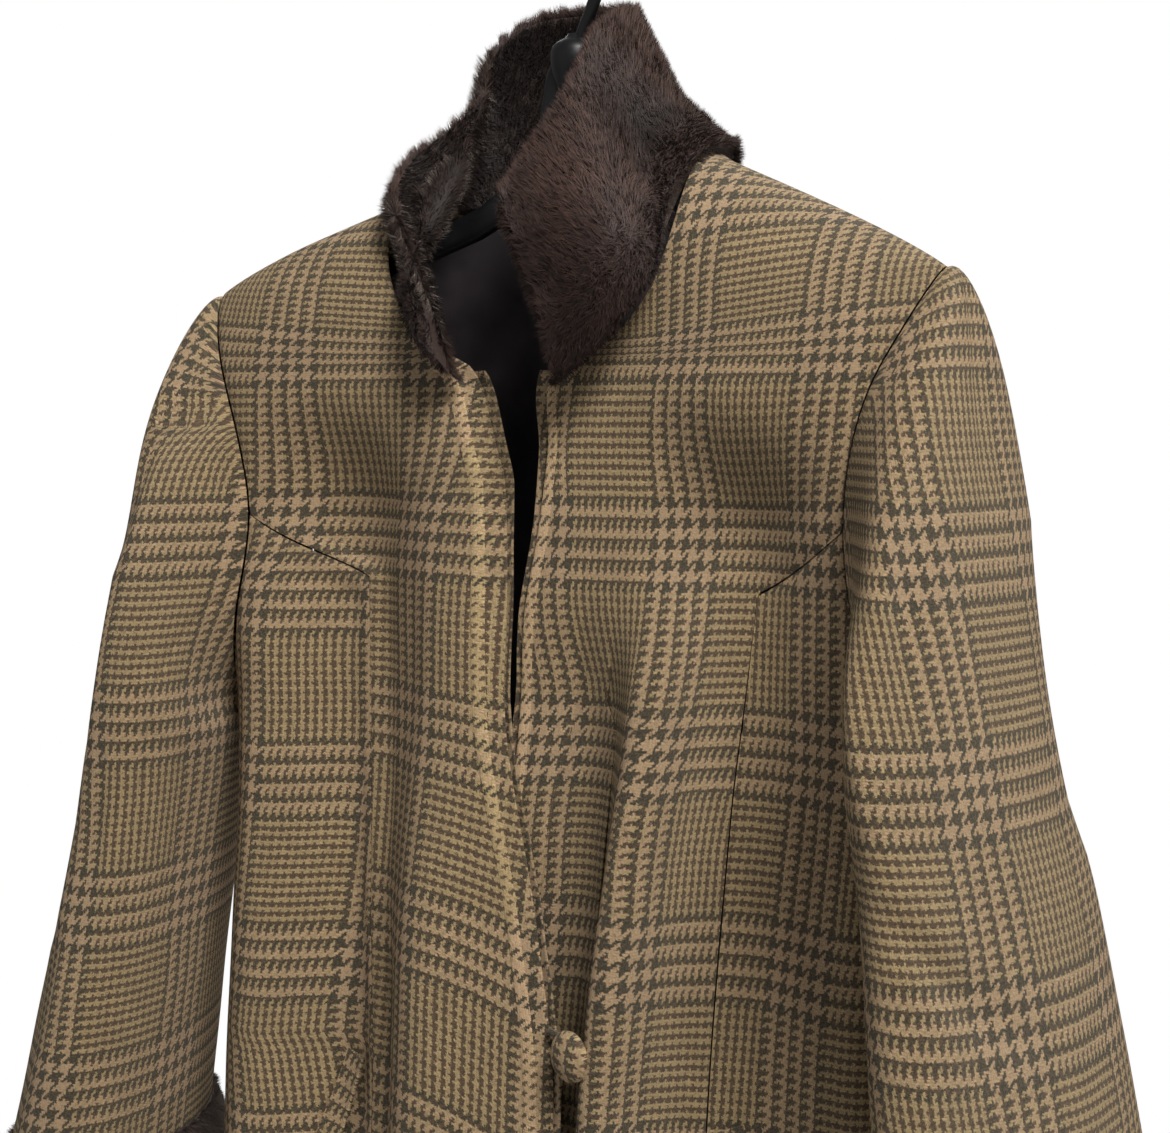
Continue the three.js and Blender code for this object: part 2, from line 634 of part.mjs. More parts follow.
function placedButton() {
  const { radius, height, stem, shank } = BUTTON;
  const dome = steps(0, 1, 7).map((t) => new THREE.Vector2(
    radius * Math.sin((t * Math.PI) / 2),
    stem + 2 + (height - 2) * Math.cos((t * Math.PI) / 2),
  ));
  const under = [
    new THREE.Vector2(radius - 0.8, stem + 0.4),
    new THREE.Vector2(shank, stem),
    new THREE.Vector2(shank, 0),
    new THREE.Vector2(0, 0),
  ];
  const profile = [...under.reverse(), ...dome.reverse()];
  const mesh = new THREE.Mesh(new THREE.LatheGeometry(profile, 16));
  const { seat, facingOut } = buttonFrame();
  mesh.position.copy(seat);
  mesh.quaternion.setFromUnitVectors(new THREE.Vector3(0, 1, 0), facingOut);
  return mesh;
}

// The loop leaves the edge of the right front, passes round the button's stem and goes back.
function buttonLoop() {
  const { seat, facingOut } = buttonFrame();
  const stemMiddle = seat.addScaledVector(facingOut, BUTTON.stem / 2);
  const around = BUTTON.shank + LOOP.radius + 0.5;
  const edgeAt = (z) => {
    const p = frontAt(RIGHT, along(INNER_EDGE.right, z, 'out'), z);
    return new THREE.Vector3(p.x + LOOP.radius + SEAM_GAP, p.y - 0.6, z);
  };
  const across = new THREE.Vector3(0, 0, 1).cross(facingOut).normalize();
  const arc = [90, 45, 0, -45, -90].map((a) => stemMiddle.clone()
    .addScaledVector(across, around * Math.cos(radians(a)))
    .add(new THREE.Vector3(0, 0, around * Math.sin(radians(a)))));
  const points = [edgeAt(BUTTON.z + LOOP.half), ...arc, edgeAt(BUTTON.z - LOOP.half)];
  return roundBar(points, LOOP.radius, 16, 3);
}

// A closed bar through a row of rings with equal counts of points.
function bar(rings) {
  const n = rings[0].length;
  const last = (rings.length - 1) * n;
  const index = [];
  for (let j = 0; j < rings.length - 1; j += 1) {
    for (let i = 0; i < n; i += 1) {
      const [a, b] = [j * n + i, j * n + ((i + 1) % n)];
      index.push(a, b, b + n, a, b + n, a + n);
    }
  }
  for (let i = 1; i < n - 1; i += 1) {
    index.push(0, i + 1, i, last, last + i, last + i + 1);
  }
  const geometry = new THREE.BufferGeometry();
  const positions = rings.flat().flatMap((p) => [p.x, p.y, p.z]);
  geometry.setAttribute('position', new THREE.Float32BufferAttribute(positions, 3));
  geometry.setIndex(index);
  return geometry;
}

function hangerArms() {
  const outline = [
    [-0.5, 0.25], [-0.5, 0.75], [-0.28, 1], [0.28, 1], [0.5, 0.75], [0.5, 0.25], [0.28, 0], [-0.28, 0],
  ];
  const rows = [...HANGER_ARMS.slice(1).map((row) => ({ ...row, x: -row.out })).reverse(),
    ...HANGER_ARMS.map((row) => ({ ...row, x: row.out }))];
  return bar(rows.map((row) => outline.map(([across, down]) => new THREE.Vector3(
    row.x,
    middleY(row.x) + across * HANGER_THICK,
    row.topZ - down * row.tall,
  ))));
}

function hangerHook() {
  const centreZ = HOOK.wire - HOOK.bend;
  const arc = [-22, 10, 45, 80, 115, 150, 180, HOOK.tip].map((a) => new THREE.Vector3(
    HOOK.bend * Math.cos(radians(a)),
    0,
    centreZ + HOOK.bend * Math.sin(radians(a)),
  ));
  const stem = [new THREE.Vector3(4, 0, -76), new THREE.Vector3(6, 0, -62), new THREE.Vector3(13, 0, -46)];
  return roundBar([...stem, ...arc], HOOK.wire, 40, 5);
}

const manifoldLibrary = await Module();
manifoldLibrary.setup();

function toManifold(geometry) {
  const bare = geometry.clone();
  ['normal', 'uv'].filter((name) => bare.hasAttribute(name)).forEach((name) => bare.deleteAttribute(name));
  const merged = mergeVertices(bare, 1e-4);
  return new manifoldLibrary.Manifold(new manifoldLibrary.Mesh({
    numProp: 3,
    vertProperties: new Float32Array(merged.attributes.position.array),
    triVerts: new Uint32Array(merged.index.array),
  }));
}

function joined(first, second) {
  const mesh = toManifold(first).add(toManifold(second)).getMesh();
  const geometry = new THREE.BufferGeometry();
  geometry.setAttribute('position', new THREE.Float32BufferAttribute(mesh.vertProperties, 3));
  geometry.setIndex([...mesh.triVerts]);
  return geometry;
}

// ---------------------------------------------------------------- the coat
const finish = (color, roughness) => new THREE.MeshStandardMaterial({ color, roughness, metalness: 0 });
const tweed = () => finish(0x8a7a58, 0.95);
const fur = () => finish(0x33231c, 0.9);
const lining = () => finish(0x2b2628, 0.6);
const plastic = () => finish(0x1b1b1d, 0.35);

const coat = new THREE.Group();

function add(name, shape, material) {
  const mesh = shape.isMesh ? shape : new THREE.Mesh(shape);
  mesh.name = name;
  mesh.material = material;
  coat.add(mesh);
}

add('back', backPanel(), tweed());
add('lining_back', backLining(), lining());
for (const side of SIDES) {
  const half = (SEAM_GAP / 2) * SLEEVE_SEAM_TURN;
  add(`front_${side.name}`, onBody(frontGrid(side), side), tweed());
  add(`side_front_${side.name}`, onBody(sideFrontGrid(side), side), tweed());
  add(`facing_${side.name}`, facing(side), tweed());
  add(`pocket_welt_${side.name}`, pocketWelt(side), tweed());
  add(`sleeve_upper_${side.name}`, sleevePanel(side, SEAM_BACK - 360 + half, SEAM_FRONT - half, 14), tweed());
  add(`sleeve_under_${side.name}`, sleevePanel(side, SEAM_FRONT + half, SEAM_BACK - half, 7), tweed());
  add(`cuff_${side.name}`, furCuff(side), fur());
}
add('collar', furCollar(), fur());
add('button', placedButton(), tweed());
add('button_loop', buttonLoop(), tweed());
add('hanger', joined(hangerArms(), hangerHook()), plastic());

export default coat;
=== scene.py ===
"""A knee-length glen check coat with a stand-up fur collar and fur cuffs, on a moulded hanger.

Each piece of the coat is made by its own operator, from the surfaces and short tables below. Tables are
in millimetres, +Z up, with the front of the coat facing -Y and the wearer's left on +X.
"""
import math
from collections import namedtuple

import bpy
import numpy as np
from bpy.props import FloatProperty, FloatVectorProperty, IntProperty, PointerProperty
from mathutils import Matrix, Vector


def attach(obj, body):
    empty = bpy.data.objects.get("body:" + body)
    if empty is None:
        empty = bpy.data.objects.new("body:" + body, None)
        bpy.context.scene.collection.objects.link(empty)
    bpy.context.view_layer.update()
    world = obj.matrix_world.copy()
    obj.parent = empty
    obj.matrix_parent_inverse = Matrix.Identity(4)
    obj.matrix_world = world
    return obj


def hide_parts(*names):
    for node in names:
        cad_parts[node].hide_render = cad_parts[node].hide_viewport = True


bl_info = {
    "name": "Fur-Trimmed Coat",
    "version": (1, 0, 0),
    "blender": (4, 5, 0),
    "location": "3D View > Sidebar > Coat",
    "description": "Builds a glen check wool coat with a fur collar and fur cuffs on its hanger",
    "category": "Add Mesh",
}

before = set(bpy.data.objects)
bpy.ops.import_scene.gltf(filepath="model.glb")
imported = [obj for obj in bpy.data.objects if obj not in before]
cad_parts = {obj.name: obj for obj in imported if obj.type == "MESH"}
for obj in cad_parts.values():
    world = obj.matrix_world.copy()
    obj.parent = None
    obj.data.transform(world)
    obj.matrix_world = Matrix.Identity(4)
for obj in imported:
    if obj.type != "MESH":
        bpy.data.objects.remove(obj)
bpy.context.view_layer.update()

MM = 0.001
HALF_PI = math.pi / 2
Side = namedtuple("Side", "name sign")
LEFT = Side("left", 1)
RIGHT = Side("right", -1)
SIDES = (LEFT, RIGHT)


# ------------------------------------------------------------------ sizes of the cut
CLOTH = 2.0
FACING = 1.4
LINING = 1.0
SEAM_GAP = 0.3
HEM_Z = -1075
FACING_ROLL = 3.5
FRONT_WIDE = 110          # about how wide a front is at the chest
LAP_DIP = 5.2
CREST = 60
NECK_HALF = 85
SHOULDER_HALF = 210
UNDERARM_Z = -400
FRONT_NECK_Z = -226
BACK_NECK_Z = -140
FULL_DROP = 900
ALL_TURNED = {"start": "turned", "end": "turned", "top": "turned", "bottom": "turned"}
SEWN_TO_HEM = {"start": "seam", "end": "seam", "top": "seam", "bottom": "turned"}
SEAM_ROW = 0.0075
EDGE = 0.0011


def table(columns, *rows):
    """A short table with named columns, kept as one array for each column."""
    return dict(zip(columns.split(), np.array(rows, float).T))


SHOULDER_LINE = {
    "left": {"neck": -123, "middle": -158, "end": -184},
    "right": {"neck": -136, "middle": -161, "end": -184},
}
BODY_SECTIONS = table(
    "z half front back",
    (-120, 222, 44, 50), (-226, 218, 50, 58), (-330, 204, 57, 68), (-420, 196, 62, 76),
    (-560, 199, 74, 82), (-770, 208, 88, 92), (-1075, 234, 106, 108),
)
INNER_EDGE = {
    "left": table(
        "z out",
        (-123, 84), (-158, 83), (-185, 76), (-204, 63), (-218, 44), (-226, 20), (-268, 18),
        (-308, 14), (-351, 7), (-414, 2), (-560, -8), (-1075, -10),
    ),
    "right": table(
        "z out",
        (-136, 85), (-162, 84.6), (-187, 76), (-204, 64), (-218, 48), (-226, 31), (-266, 16),
        (-285, 10), (-376, 5), (-416, 1), (-501, -20), (-590, -34), (-1075, -30),
    ),
}
ARMHOLE = {
    "front": [
        (-184, 210), (-212, 197), (-240, 184), (-270, 175), (-302, 171), (-335, 174), (-365, 182),
        (-386, 190),
    ],
    "back": [(-184, 210), (-230, 198), (-290, 187), (-345, 185), (-386, 191)],
}

# The panel seam of each front: from the armhole it runs in to the bust, the first row here, then down.
SEAM_START_Z = -304
PANEL_SEAM = {
    "left": table("z out", (-336, 121), (-380, 117), (-440, 112), (-592, 108), (HEM_Z, 108)),
    "right": table("z out", (-336, 105), (-440, 100), (-520, 95), (-592, 89), (HEM_Z, 84)),
}

# Large folds: where each runs, how wide it is and how far it pushes the cloth in (a ridge is negative).
FOLD_COLUMNS = "top_z top_out end_z end_out width push fade"
FRONT_FOLDS = {
    "left": table(
        FOLD_COLUMNS,
        (-235, 116, -600, 130, 30, 30, 70), (-300, 94, -575, 59, 12, -15, 90),
        (-330, 46, -575, 38, 15, 11, 80), (-620, 170, -1075, 186, 22, 12, 120),
    ),
    "right": table(
        FOLD_COLUMNS,
        (-235, 113, -600, 106, 30, 28, 70), (-300, 158, -1075, 150, 20, -10, 90),
        (-400, 44, -1075, 52, 20, -9, 110),
    ),
}
BACK_FOLDS = table(
    FOLD_COLUMNS,
    (-300, -96, -1075, -118, 30, 14, 120), (-380, -20, -1075, -34, 26, -10, 160),
    (-330, 84, -1075, 112, 28, 15, 120), (-520, 34, -1075, 46, 20, -8, 160),
)

SLEEVE_SECTIONS = table(
    "z x y thick deep turn",
    (-425, 229, -47, 34, 72, 14), (-470, 239, -47, 36, 76, 15), (-530, 249, -51, 39, 80, 16),
    (-590, 259, -55, 42, 83, 16), (-650, 270, -57, 45, 85, 16), (-710, 278, -58, 46, 86, 16),
    (-770, 283, -58, 47, 87, 16),
)
SLEEVE_TOP_Z = -425
SLEEVE_END_Z = -768
SLEEVE_SEAM_TURN = 0.9
SEAM_FRONT = 118
SEAM_BACK = 238
CUFF_TOP_Z = -650
CUFF_END_Z = -772
CUFF_GAP = 0.6
CAP = {
    "top_out": 1, "top_up": 0.16, "top_reach": 16, "top_settle": 146,
    "under_out": 0.5, "under_up": -0.86, "under_reach": 9, "under_settle": 8,
    "edge_forward": 0.9, "edge_reach": 30, "lean": 0.2,
}

COLLAR = table(
    "x y z top_x top_y top_z bow",
    (-33, -59, -224, -72, -52, -150, 0), (-53, -60, -208, -83, -40, -138, -3),
    (-67.5, -52, -179, -90, -14, -119, -12), (-71.5, -24, -140, -87, 12, -103.5, -12.5),
    (-78, 8, -133, -77, 36, -80, 0), (-66, 29, -135.8, -78, 50, -53, 5),
    (-37, 43, -137, -57, 60, -37, 6), (0, 49, -138.6, -26, 62, -35, 6),
    (38, 43, -131, 1, 55, -38, 4), (66, 28, -123, 17, 28, -46, -2), (79, 4, -120, 24, -10, -61, -4),
    (79, -30, -138, 22, -26, -83, -5), (73, -54, -181, 18, -44, -110, 8),
    (57, -60, -206, 10, -60, -132, 6), (32, -61, -226, 3, -70, -149, 2),
)
COLLAR_MIDDLE_Y = 5

BUTTON = {
    "out": 52, "z": -557, "radius": 12.5, "height": 8.5, "shank": 3, "stem": 5, "turn": 19, "clear": 1.6,
}
LOOP = {"radius": 1.9, "half": 7}
POCKET = {"top_z": -592, "end_z": -728, "slant": 49, "width": 14, "thick": 2.2}
POCKET_TOP_OUT = {"left": 111, "right": 93}

HOOK = {"wire": 3.2, "bend": 22.2, "tip": 205}
HANGER_ARMS = table(
    "out top_z tall",
    (0, -66, 64), (8, -68, 62), (12, -77, 54), (17, -110, 23), (32, -130, 18), (54, -143, 16),
    (80, -153, 15), (110, -166, 14), (150, -180, 13), (184, -191, 12), (196, -196, 8),
)
HANGER_THICK = 11


# ------------------------------------------------------------------ creases
# Small creases, as soft ridges (lift above 0) and troughs. Each runs from one place to the other: at is
# the distance out from the centre, or on a sleeve the angle round it.
CREASE_COLUMNS = "z at end_z end_at width lift"
FRONT_CREASES = {
    "left": table(
        CREASE_COLUMNS,
        (-205, 114, -318, 120, 24, 5.0), (-262, 66, -420, 74, 8, 2.2), (-380, 150, -520, 158, 8, -2.6),
        (-330, 88, -720, 50, 11, 5.5), (-300, 52, -720, 18, 14, -6.0), (-520, 104, -700, 98, 7, -3.0),
        (-640, 44, -860, 52, 9, 2.4),
        (-700, 120, -940, 132, 11, 3.2), (-820, 76, -1060, 84, 10, -3.4), (-600, 20, -800, 24, 7, -1.8),
    ),
    "right": table(
        CREASE_COLUMNS,
        (-228, 110, -760, 98, 24, -6.5), (-240, 40, -800, 30, 19, 5.0), (-300, 62, -470, 70, 8, -1.6),
        (-420, 138, -560, 128, 8, 2.4),
        (-500, 84, -660, 76, 7, -2.6), (-600, 30, -820, 24, 9, -2.2), (-680, 96, -900, 104, 10, 2.8),
        (-760, 148, -1000, 156, 11, -3.2), (-850, 60, -1070, 66, 10, 3.0),
    ),
}
BACK_CREASES = table(
    CREASE_COLUMNS,
    (-236, -150, -360, -120, 12, -3.2), (-240, 156, -380, 122, 12, -3.4), (-290, 30, -520, 22, 14, -2.6),
    (-420, -64, -640, -58, 12, 3.0), (-470, 150, -700, 158, 13, -3.4), (-520, -150, -780, -160, 12, -3.0),
    (-640, 76, -900, 84, 12, 3.2), (-700, -84, -1000, -92, 13, -3.6), (-760, 8, -1060, 2, 12, -3.0),
)
SLEEVE_CREASES = {
    "left": table(
        CREASE_COLUMNS,
        (-250, 40, -400, 62, 10, -4.2), (-330, 96, -470, 78, 9, 3.4), (-420, 30, -560, 44, 9, -3.4),
        (-452, 84, -520, 20, 8, -3.6), (-540, 66, -660, 74, 10, -3.2), (-560, -20, -660, -34, 11, -3.0),
        (-300, -50, -450, -66, 12, -3.6), (-400, 140, -560, 150, 12, -3.2), (-480, 0, -640, 8, 9, 2.6),
    ),
    "right": table(
        CREASE_COLUMNS,
        (-222, 66, -336, 44, 9, -5.0), (-336, 60, -470, 66, 8, 2.6), (-424, 84, -560, 92, 10, -4.0),
        (-400, 20, -540, 34, 10, -3.4), (-520, 60, -650, 50, 9, -2.8), (-300, -46, -450, -70, 12, -3.6),
        (-470, -20, -640, -30, 11, 3.0), (-410, 150, -560, 160, 12, -3.0),
    ),
}

# The check. Bands of four threads alternate with pairs; each count is of threads.
COARSE_THREADS = 36
REPEAT_THREADS = 78
FINE_CENTRE = 57
EDGE_STRIP = {"left": (3.2, 3.0), "right": (12.0, 3.6)}
CAP_TOP_Z = -150
LEVEL_Z = -300
SHOULDER_Z = -238

# Grain lines: where the middle of a fine column runs on each panel, how wide the check spreads there and
# how far below the level line a fine row lies. The back's column runs down its middle, x = 0.
GRAIN = {
    "front_left": (table("z at", (-222, 131), (-273, 125), (-351, 120), (-466, 102), (-1075, 98)), 0.84, 62),
    "side_front_left": (table("z at", (-300, 198), (-560, 188), (-1075, 188)), 0.94, 62),
    "front_right": (table("z at", (-200, 93), (-259, 96), (-328, 108), (-450, 106), (-1075, 104)), 1.1, 62),
    "side_front_right": (table("z at", (-300, 204), (-560, 200), (-1075, 200)), 1.04, 96),
    "back": (None, 1.0, 62),
    "sleeve_left": (table("z at", (-180, 20), (-250, 14), (-353, -2), (-456, -4), (-770, -4)), 0.94, 60),
    "sleeve_right": (table("z at", (-180, 58), (-259, 71), (-359, 104), (-455, 124), (-770, 134)), 1.0, 65),
}


# ------------------------------------------------------------------ small helpers
def lerp(a, b, t):
    return a + (b - a) * t


def smooth(t):
    t = np.clip(t, 0, 1)
    return t * t * (3 - 2 * t)


def points(x, y, z):
    return np.stack(np.broadcast_arrays(x, y, z), -1).astype(float)


def unit(vectors):
    return vectors / np.maximum(np.linalg.norm(vectors, axis=-1, keepdims=True), 1e-9)


def along(rows, z, column):
    """A smooth curve through one column of a table whose rows go down in z."""
    heights, values = rows["z"], rows[column]
    last = len(heights) - 1
    z = np.clip(z, heights[last], heights[0])
    i = np.clip(np.searchsorted(-heights, -z, side="right") - 1, 0, last - 1)
    before = np.maximum(np.arange(last + 1) - 1, 0)
    after = np.minimum(np.arange(last + 1) + 1, last)
    slope = (values[after] - values[before]) / (heights[after] - heights[before])
    step = heights[i + 1] - heights[i]
    t = (z - heights[i]) / step
    ease = t * (1 - t)
    bend = step * (slope[i] * ease * (1 - t) - slope[i + 1] * ease * t)
    return lerp(values[i], values[i + 1], t * t * (3 - 2 * t)) + bend


def spread_out(start, end, count, edge):
    """Even steps from start to end, with a few more beside each end for a rounded edge."""
    near = np.array([0.12, 0.3, 0.6]) * edge * np.sign(end - start)
    return np.unique(np.concatenate([np.linspace(start, end, count + 1), start + near, end - near]))


# ------------------------------------------------------------------ the body surface
def drop_of(w):
    return CREST * np.where(w < HALF_PI, 1 - np.cos(w), 1 + w - HALF_PI)


def round_of(w):
    return np.where(w < HALF_PI, np.sin(w), 1.0)


def row_of(drop):
    crest = np.arccos(np.clip(1 - drop / CREST, -1, 1))
    return np.where(drop < CREST, crest, drop / CREST - 1 + HALF_PI)


ROW_END = float(row_of(FULL_DROP))


def shoulder_z(side, out):
    line = SHOULDER_LINE[side.name]
    t = np.clip((out - NECK_HALF) / (SHOULDER_HALF - NECK_HALF), 0, 1)
    bow = line["middle"] - (line["neck"] + line["end"]) / 2
    return lerp(line["neck"], line["end"], t) + bow * 4 * t * (1 - t)


def height_of(top, w):
    return top - drop_of(w) / FULL_DROP * (top - HEM_Z)


def row_at(top, z):
    return row_of(np.maximum(0, (top - z) / (top - HEM_Z)) * FULL_DROP)


def middle_y(out):
    return -22 * np.minimum(1, np.abs(out) / SHOULDER_HALF) ** 2


def fold_push(folds, out, z):
    """How far the large folds push the cloth in."""
    total = 0
    for top_z, top_out, end_z, end_out, width, push, fade in zip(*folds.values()):
        centre = lerp(top_out, end_out, np.clip((z - top_z) / (end_z - top_z), 0, 1))
        strength = smooth((top_z - z) / fade)
        total = total + push * strength * np.exp(-0.5 * ((out - centre) / width) ** 2)
    return total


def underlap(side, out, z):
    """The left front dips under the lap of the right one."""
    return LAP_DIP * smooth((62 - out) / 26) * smooth((-340 - z) / 60) if side is LEFT else 0


def section_turn(out, half):
    return np.arcsin(np.clip(out / half, -1, 1))


def section_depth(turn):
    return np.cos(turn) * np.sqrt(1 + np.sin(turn) ** 2)


def outer_turn(face, z):
    half = along(BODY_SECTIONS, z, "half")
    underarm = (UNDERARM_Z, float(along(BODY_SECTIONS, UNDERARM_Z, "half")))
    edge = table("z out", *ARMHOLE[face], underarm)
    return np.where(z > UNDERARM_Z, section_turn(along(edge, z, "out"), half), HALF_PI)


def front_at_turn(side, turn, z, bulge):
    half = along(BODY_SECTIONS, z, "half")
    out = half * np.sin(turn)
    full = along(BODY_SECTIONS, z, "front") * section_depth(turn)
    fade = smooth((half - np.abs(out)) / 30)
    push = fold_push(FRONT_FOLDS[side.name], out, z) * fade + underlap(side, out, z)
    return points(side.sign * out, middle_y(out) - (full - push) * bulge, z)


def front_at(side, out, z):
    """A point of a front, by its distance out from the centre and its height."""
    top = shoulder_z(side, np.maximum(NECK_HALF, out))
    half = along(BODY_SECTIONS, z, "half")
    return front_at_turn(side, section_turn(out, half), z, round_of(row_at(top, z)))


def front_top(side, f):
    return shoulder_z(side, lerp(NECK_HALF, SHOULDER_HALF, np.clip(f, 0, 1)))


def inner_turn(side, z):
    half = along(BODY_SECTIONS, z, "half")
    return section_turn(along(INNER_EDGE[side.name], z, "out"), half)


def front_point(side, f, w):
    """A point of a front, by its column from the inner edge (0) to the armhole (1), and its row."""
    z = height_of(front_top(side, f), w)
    turn = lerp(inner_turn(side, z), outer_turn("front", z), f)
    return front_at_turn(side, turn, z, round_of(w))


def front_column(side, out, z):
    half = along(BODY_SECTIONS, z, "half")
    inner = inner_turn(side, z)
    return (section_turn(out, half) - inner) / (outer_turn("front", z) - inner)


def back_point(f, w):
    """A point of the back: f runs from the right side (-1) to the left (1)."""
    out = np.abs(f) * SHOULDER_HALF
    neck = np.clip(1 - out / NECK_HALF, 0, 1)
    scoop = np.sqrt(1 - (1 - neck) ** 2)
    side_neck = np.where(f < 0, SHOULDER_LINE["right"]["neck"], SHOULDER_LINE["left"]["neck"])
    neck_top = lerp(side_neck, BACK_NECK_Z, smooth(neck))
    shoulder = np.where(f < 0, shoulder_z(RIGHT, out), shoulder_z(LEFT, out))
    top = np.where(out < NECK_HALF, neck_top, shoulder)
    z = height_of(top, w)
    half = along(BODY_SECTIONS, z, "half")
    even_turn = section_turn(f * SHOULDER_HALF, half) / section_turn(SHOULDER_HALF, half)
    turn = lerp(even_turn, f, smooth((top - z) / 200)) * outer_turn("back", z)
    x = half * np.sin(turn)
    bulge = np.sqrt(1 - (1 - round_of(w) ** 2) * (1 - scoop**2))
    fade = smooth((half - np.abs(x)) / 30)
    full = along(BODY_SECTIONS, z, "back") * section_depth(turn)
    return points(x, middle_y(x) + (full - fold_push(BACK_FOLDS, x, z) * fade) * bulge, z)


def armhole_row(z):
    return row_at(SHOULDER_LINE["left"]["end"], z)


class PanelSeam:
    """The seam between a front and its side front: from the armhole in to the bust, then down. A row's
    height depends a little on its column, so below the bust the two are settled in passes, each averaged
    with the last because at the underarm they would swing between two places."""

    passes = 20

    def __init__(self, side):
        self.side = side
        self.line = PANEL_SEAM[side.name]
        bust_z = self.line["z"][0]
        self.bust_column = float(front_column(side, self.line["out"][0], bust_z))
        self.start_row = float(armhole_row(SEAM_START_Z))
        self.bust_row = float(row_at(front_top(side, self.bust_column), bust_z))

    def column_at(self, w):
        t = (w - self.start_row) / (self.bust_row - self.start_row)
        down = self.bust_column + 0 * w
        for _ in range(self.passes):
            z = height_of(front_top(self.side, down), w)
            down = (down + front_column(self.side, along(self.line, z, "out"), z)) / 2
        slant = lerp(1, self.bust_column, np.clip(t, 0, 1))
        return np.where(w <= self.bust_row, slant, down)


def front_surface(side):
    seam = PanelSeam(side)

    def at(u, w):
        slanted = (w > seam.start_row) & (w < seam.bust_row + 0.01)
        return front_point(side, u * (seam.column_at(w) - np.where(slanted, 2.4, 1) * EDGE), w)

    return at


def side_front_surface(side):
    seam = PanelSeam(side)

    def at(u, v):
        w = lerp(lerp(seam.bust_row, seam.start_row, u) + 0.012, ROW_END, v)
        first = np.where(w < seam.bust_row, seam.bust_column, seam.column_at(w)) + 1.2 * EDGE
        return front_point(side, lerp(first, 1 - EDGE, u), w)

    return at


# ------------------------------------------------------------------ sleeves
def armhole_point(side, angle):
    share = (1 - np.cos(np.radians(angle))) / 2
    w = armhole_row(lerp(SHOULDER_LINE["left"]["end"], UNDERARM_Z, share))
    in_front = (np.sin(np.radians(angle)) >= 0)[..., None]
    return np.where(in_front, front_point(side, 1.0, w), back_point(float(side.sign) + 0 * w, w))


def sleeve_ring(side, angle, z):
    thick, deep, x, y, turn = (along(SLEEVE_SECTIONS, z, c) for c in ("thick", "deep", "x", "y", "turn"))
    outward = thick * np.cos(np.radians(angle))
    forward = deep * np.sin(np.radians(angle))
    c, s = np.cos(np.radians(turn)), np.sin(np.radians(turn))
    return points(side.sign * (x + outward * c - forward * s), y - outward * s - forward * c, z)


def sleeve_point(side, angle, v):
    """Round a sleeve, 0 degrees is its outer line and 90 its front. v is 0 at the armhole, 1 at the
    first ring below the cap and 2 at the end."""
    below = sleeve_ring(side, angle, lerp(SLEEVE_TOP_Z, SLEEVE_END_Z, np.maximum(v, 1) - 1))
    top = ((1 + np.cos(np.radians(angle))) / 2)[..., None]
    edge = np.sin(np.radians(angle))[..., None]
    to = sleeve_ring(side, angle, SLEEVE_TOP_Z + 0 * v)
    leave = np.concatenate([
        side.sign * lerp(CAP["under_out"], CAP["top_out"], top),
        -edge * CAP["edge_forward"],
        lerp(CAP["under_up"], CAP["top_up"], top),
    ], -1)
    start = armhole_point(side, angle) + unit(leave) * SEAM_GAP
    reach = lerp(CAP["under_reach"], CAP["top_reach"], top**2) + CAP["edge_reach"] * np.abs(edge)
    settle = lerp(CAP["under_settle"], CAP["top_settle"], top)
    above = np.concatenate([-side.sign * settle * CAP["lean"], 0 * settle, settle], -1)
    t = np.clip(v, 0, 1)[..., None]
    a, b, c, d = start, start + leave * reach, to + above, to
    cap = a * (1 - t) ** 3 + 3 * b * t * (1 - t) ** 2 + 3 * c * t**2 * (1 - t) + d * t**3
    return np.where((v > 1)[..., None], below, cap)


# ------------------------------------------------------------------ the collar
def collar_row(s):
    last = len(COLLAR["x"]) - 1
    i = np.clip(np.floor(s).astype(int), 0, last - 1)
    t = s - i
    a, b, c, d = (np.clip(i + k, 0, last) for k in (-1, 0, 1, 2))
    row = {}
    for column, q in COLLAR.items():
        cubic = 3 * (q[b] - q[c]) + q[d] - q[a]
        square = 2 * q[a] - 5 * q[b] + 4 * q[c] - q[d]
        row[column] = q[b] + 0.5 * t * (q[c] - q[a] + t * (square + t * cubic))
    return row


def collar_point(s, h):
    row = collar_row(s)
    base = points(row["x"], row["y"], row["z"])
    top = points(row["top_x"], row["top_y"], row["top_z"])
    outward = unit(points(row["x"], row["y"] - COLLAR_MIDDLE_Y, 0))
    h = h[..., None]
    return lerp(base, top, h) + outward * row["bow"][..., None] * 4 * h * (1 - h)


# ------------------------------------------------------------------ grids and shells
def grid_normals(grid, flip, closed=False):
    """The way out of a surface, from its own grid of points."""
    if closed:
        du = np.roll(grid, -1, 1) - np.roll(grid, 1, 1)
    else:
        du = np.gradient(grid, axis=1)
    normals = unit(np.cross(du, np.gradient(grid, axis=0)))
    return -normals if flip else normals


def arc_lengths(grid, axis):
    steps = np.linalg.norm(np.diff(grid, axis=axis), axis=-1)
    return np.insert(np.cumsum(steps, axis=axis), 0, 0, axis=axis)


def crease_lift(creases, at, z):
    """How far the small creases lift the cloth."""
    total = np.zeros(np.broadcast(at, z).shape)
    for z0, at0, z1, at1, width, lift in zip(*creases.values()):
        t = (z - z0) / (z1 - z0)
        inside = np.clip(t, 0, 1)
        window = np.sin(math.pi * inside) ** 0.8 * (t > 0) * (t < 1)
        across = (at - lerp(at0, at1, inside)) / (width * (0.8 + 0.5 * inside))
        total = total + lift * window * np.exp(-0.5 * across**2)
    return total


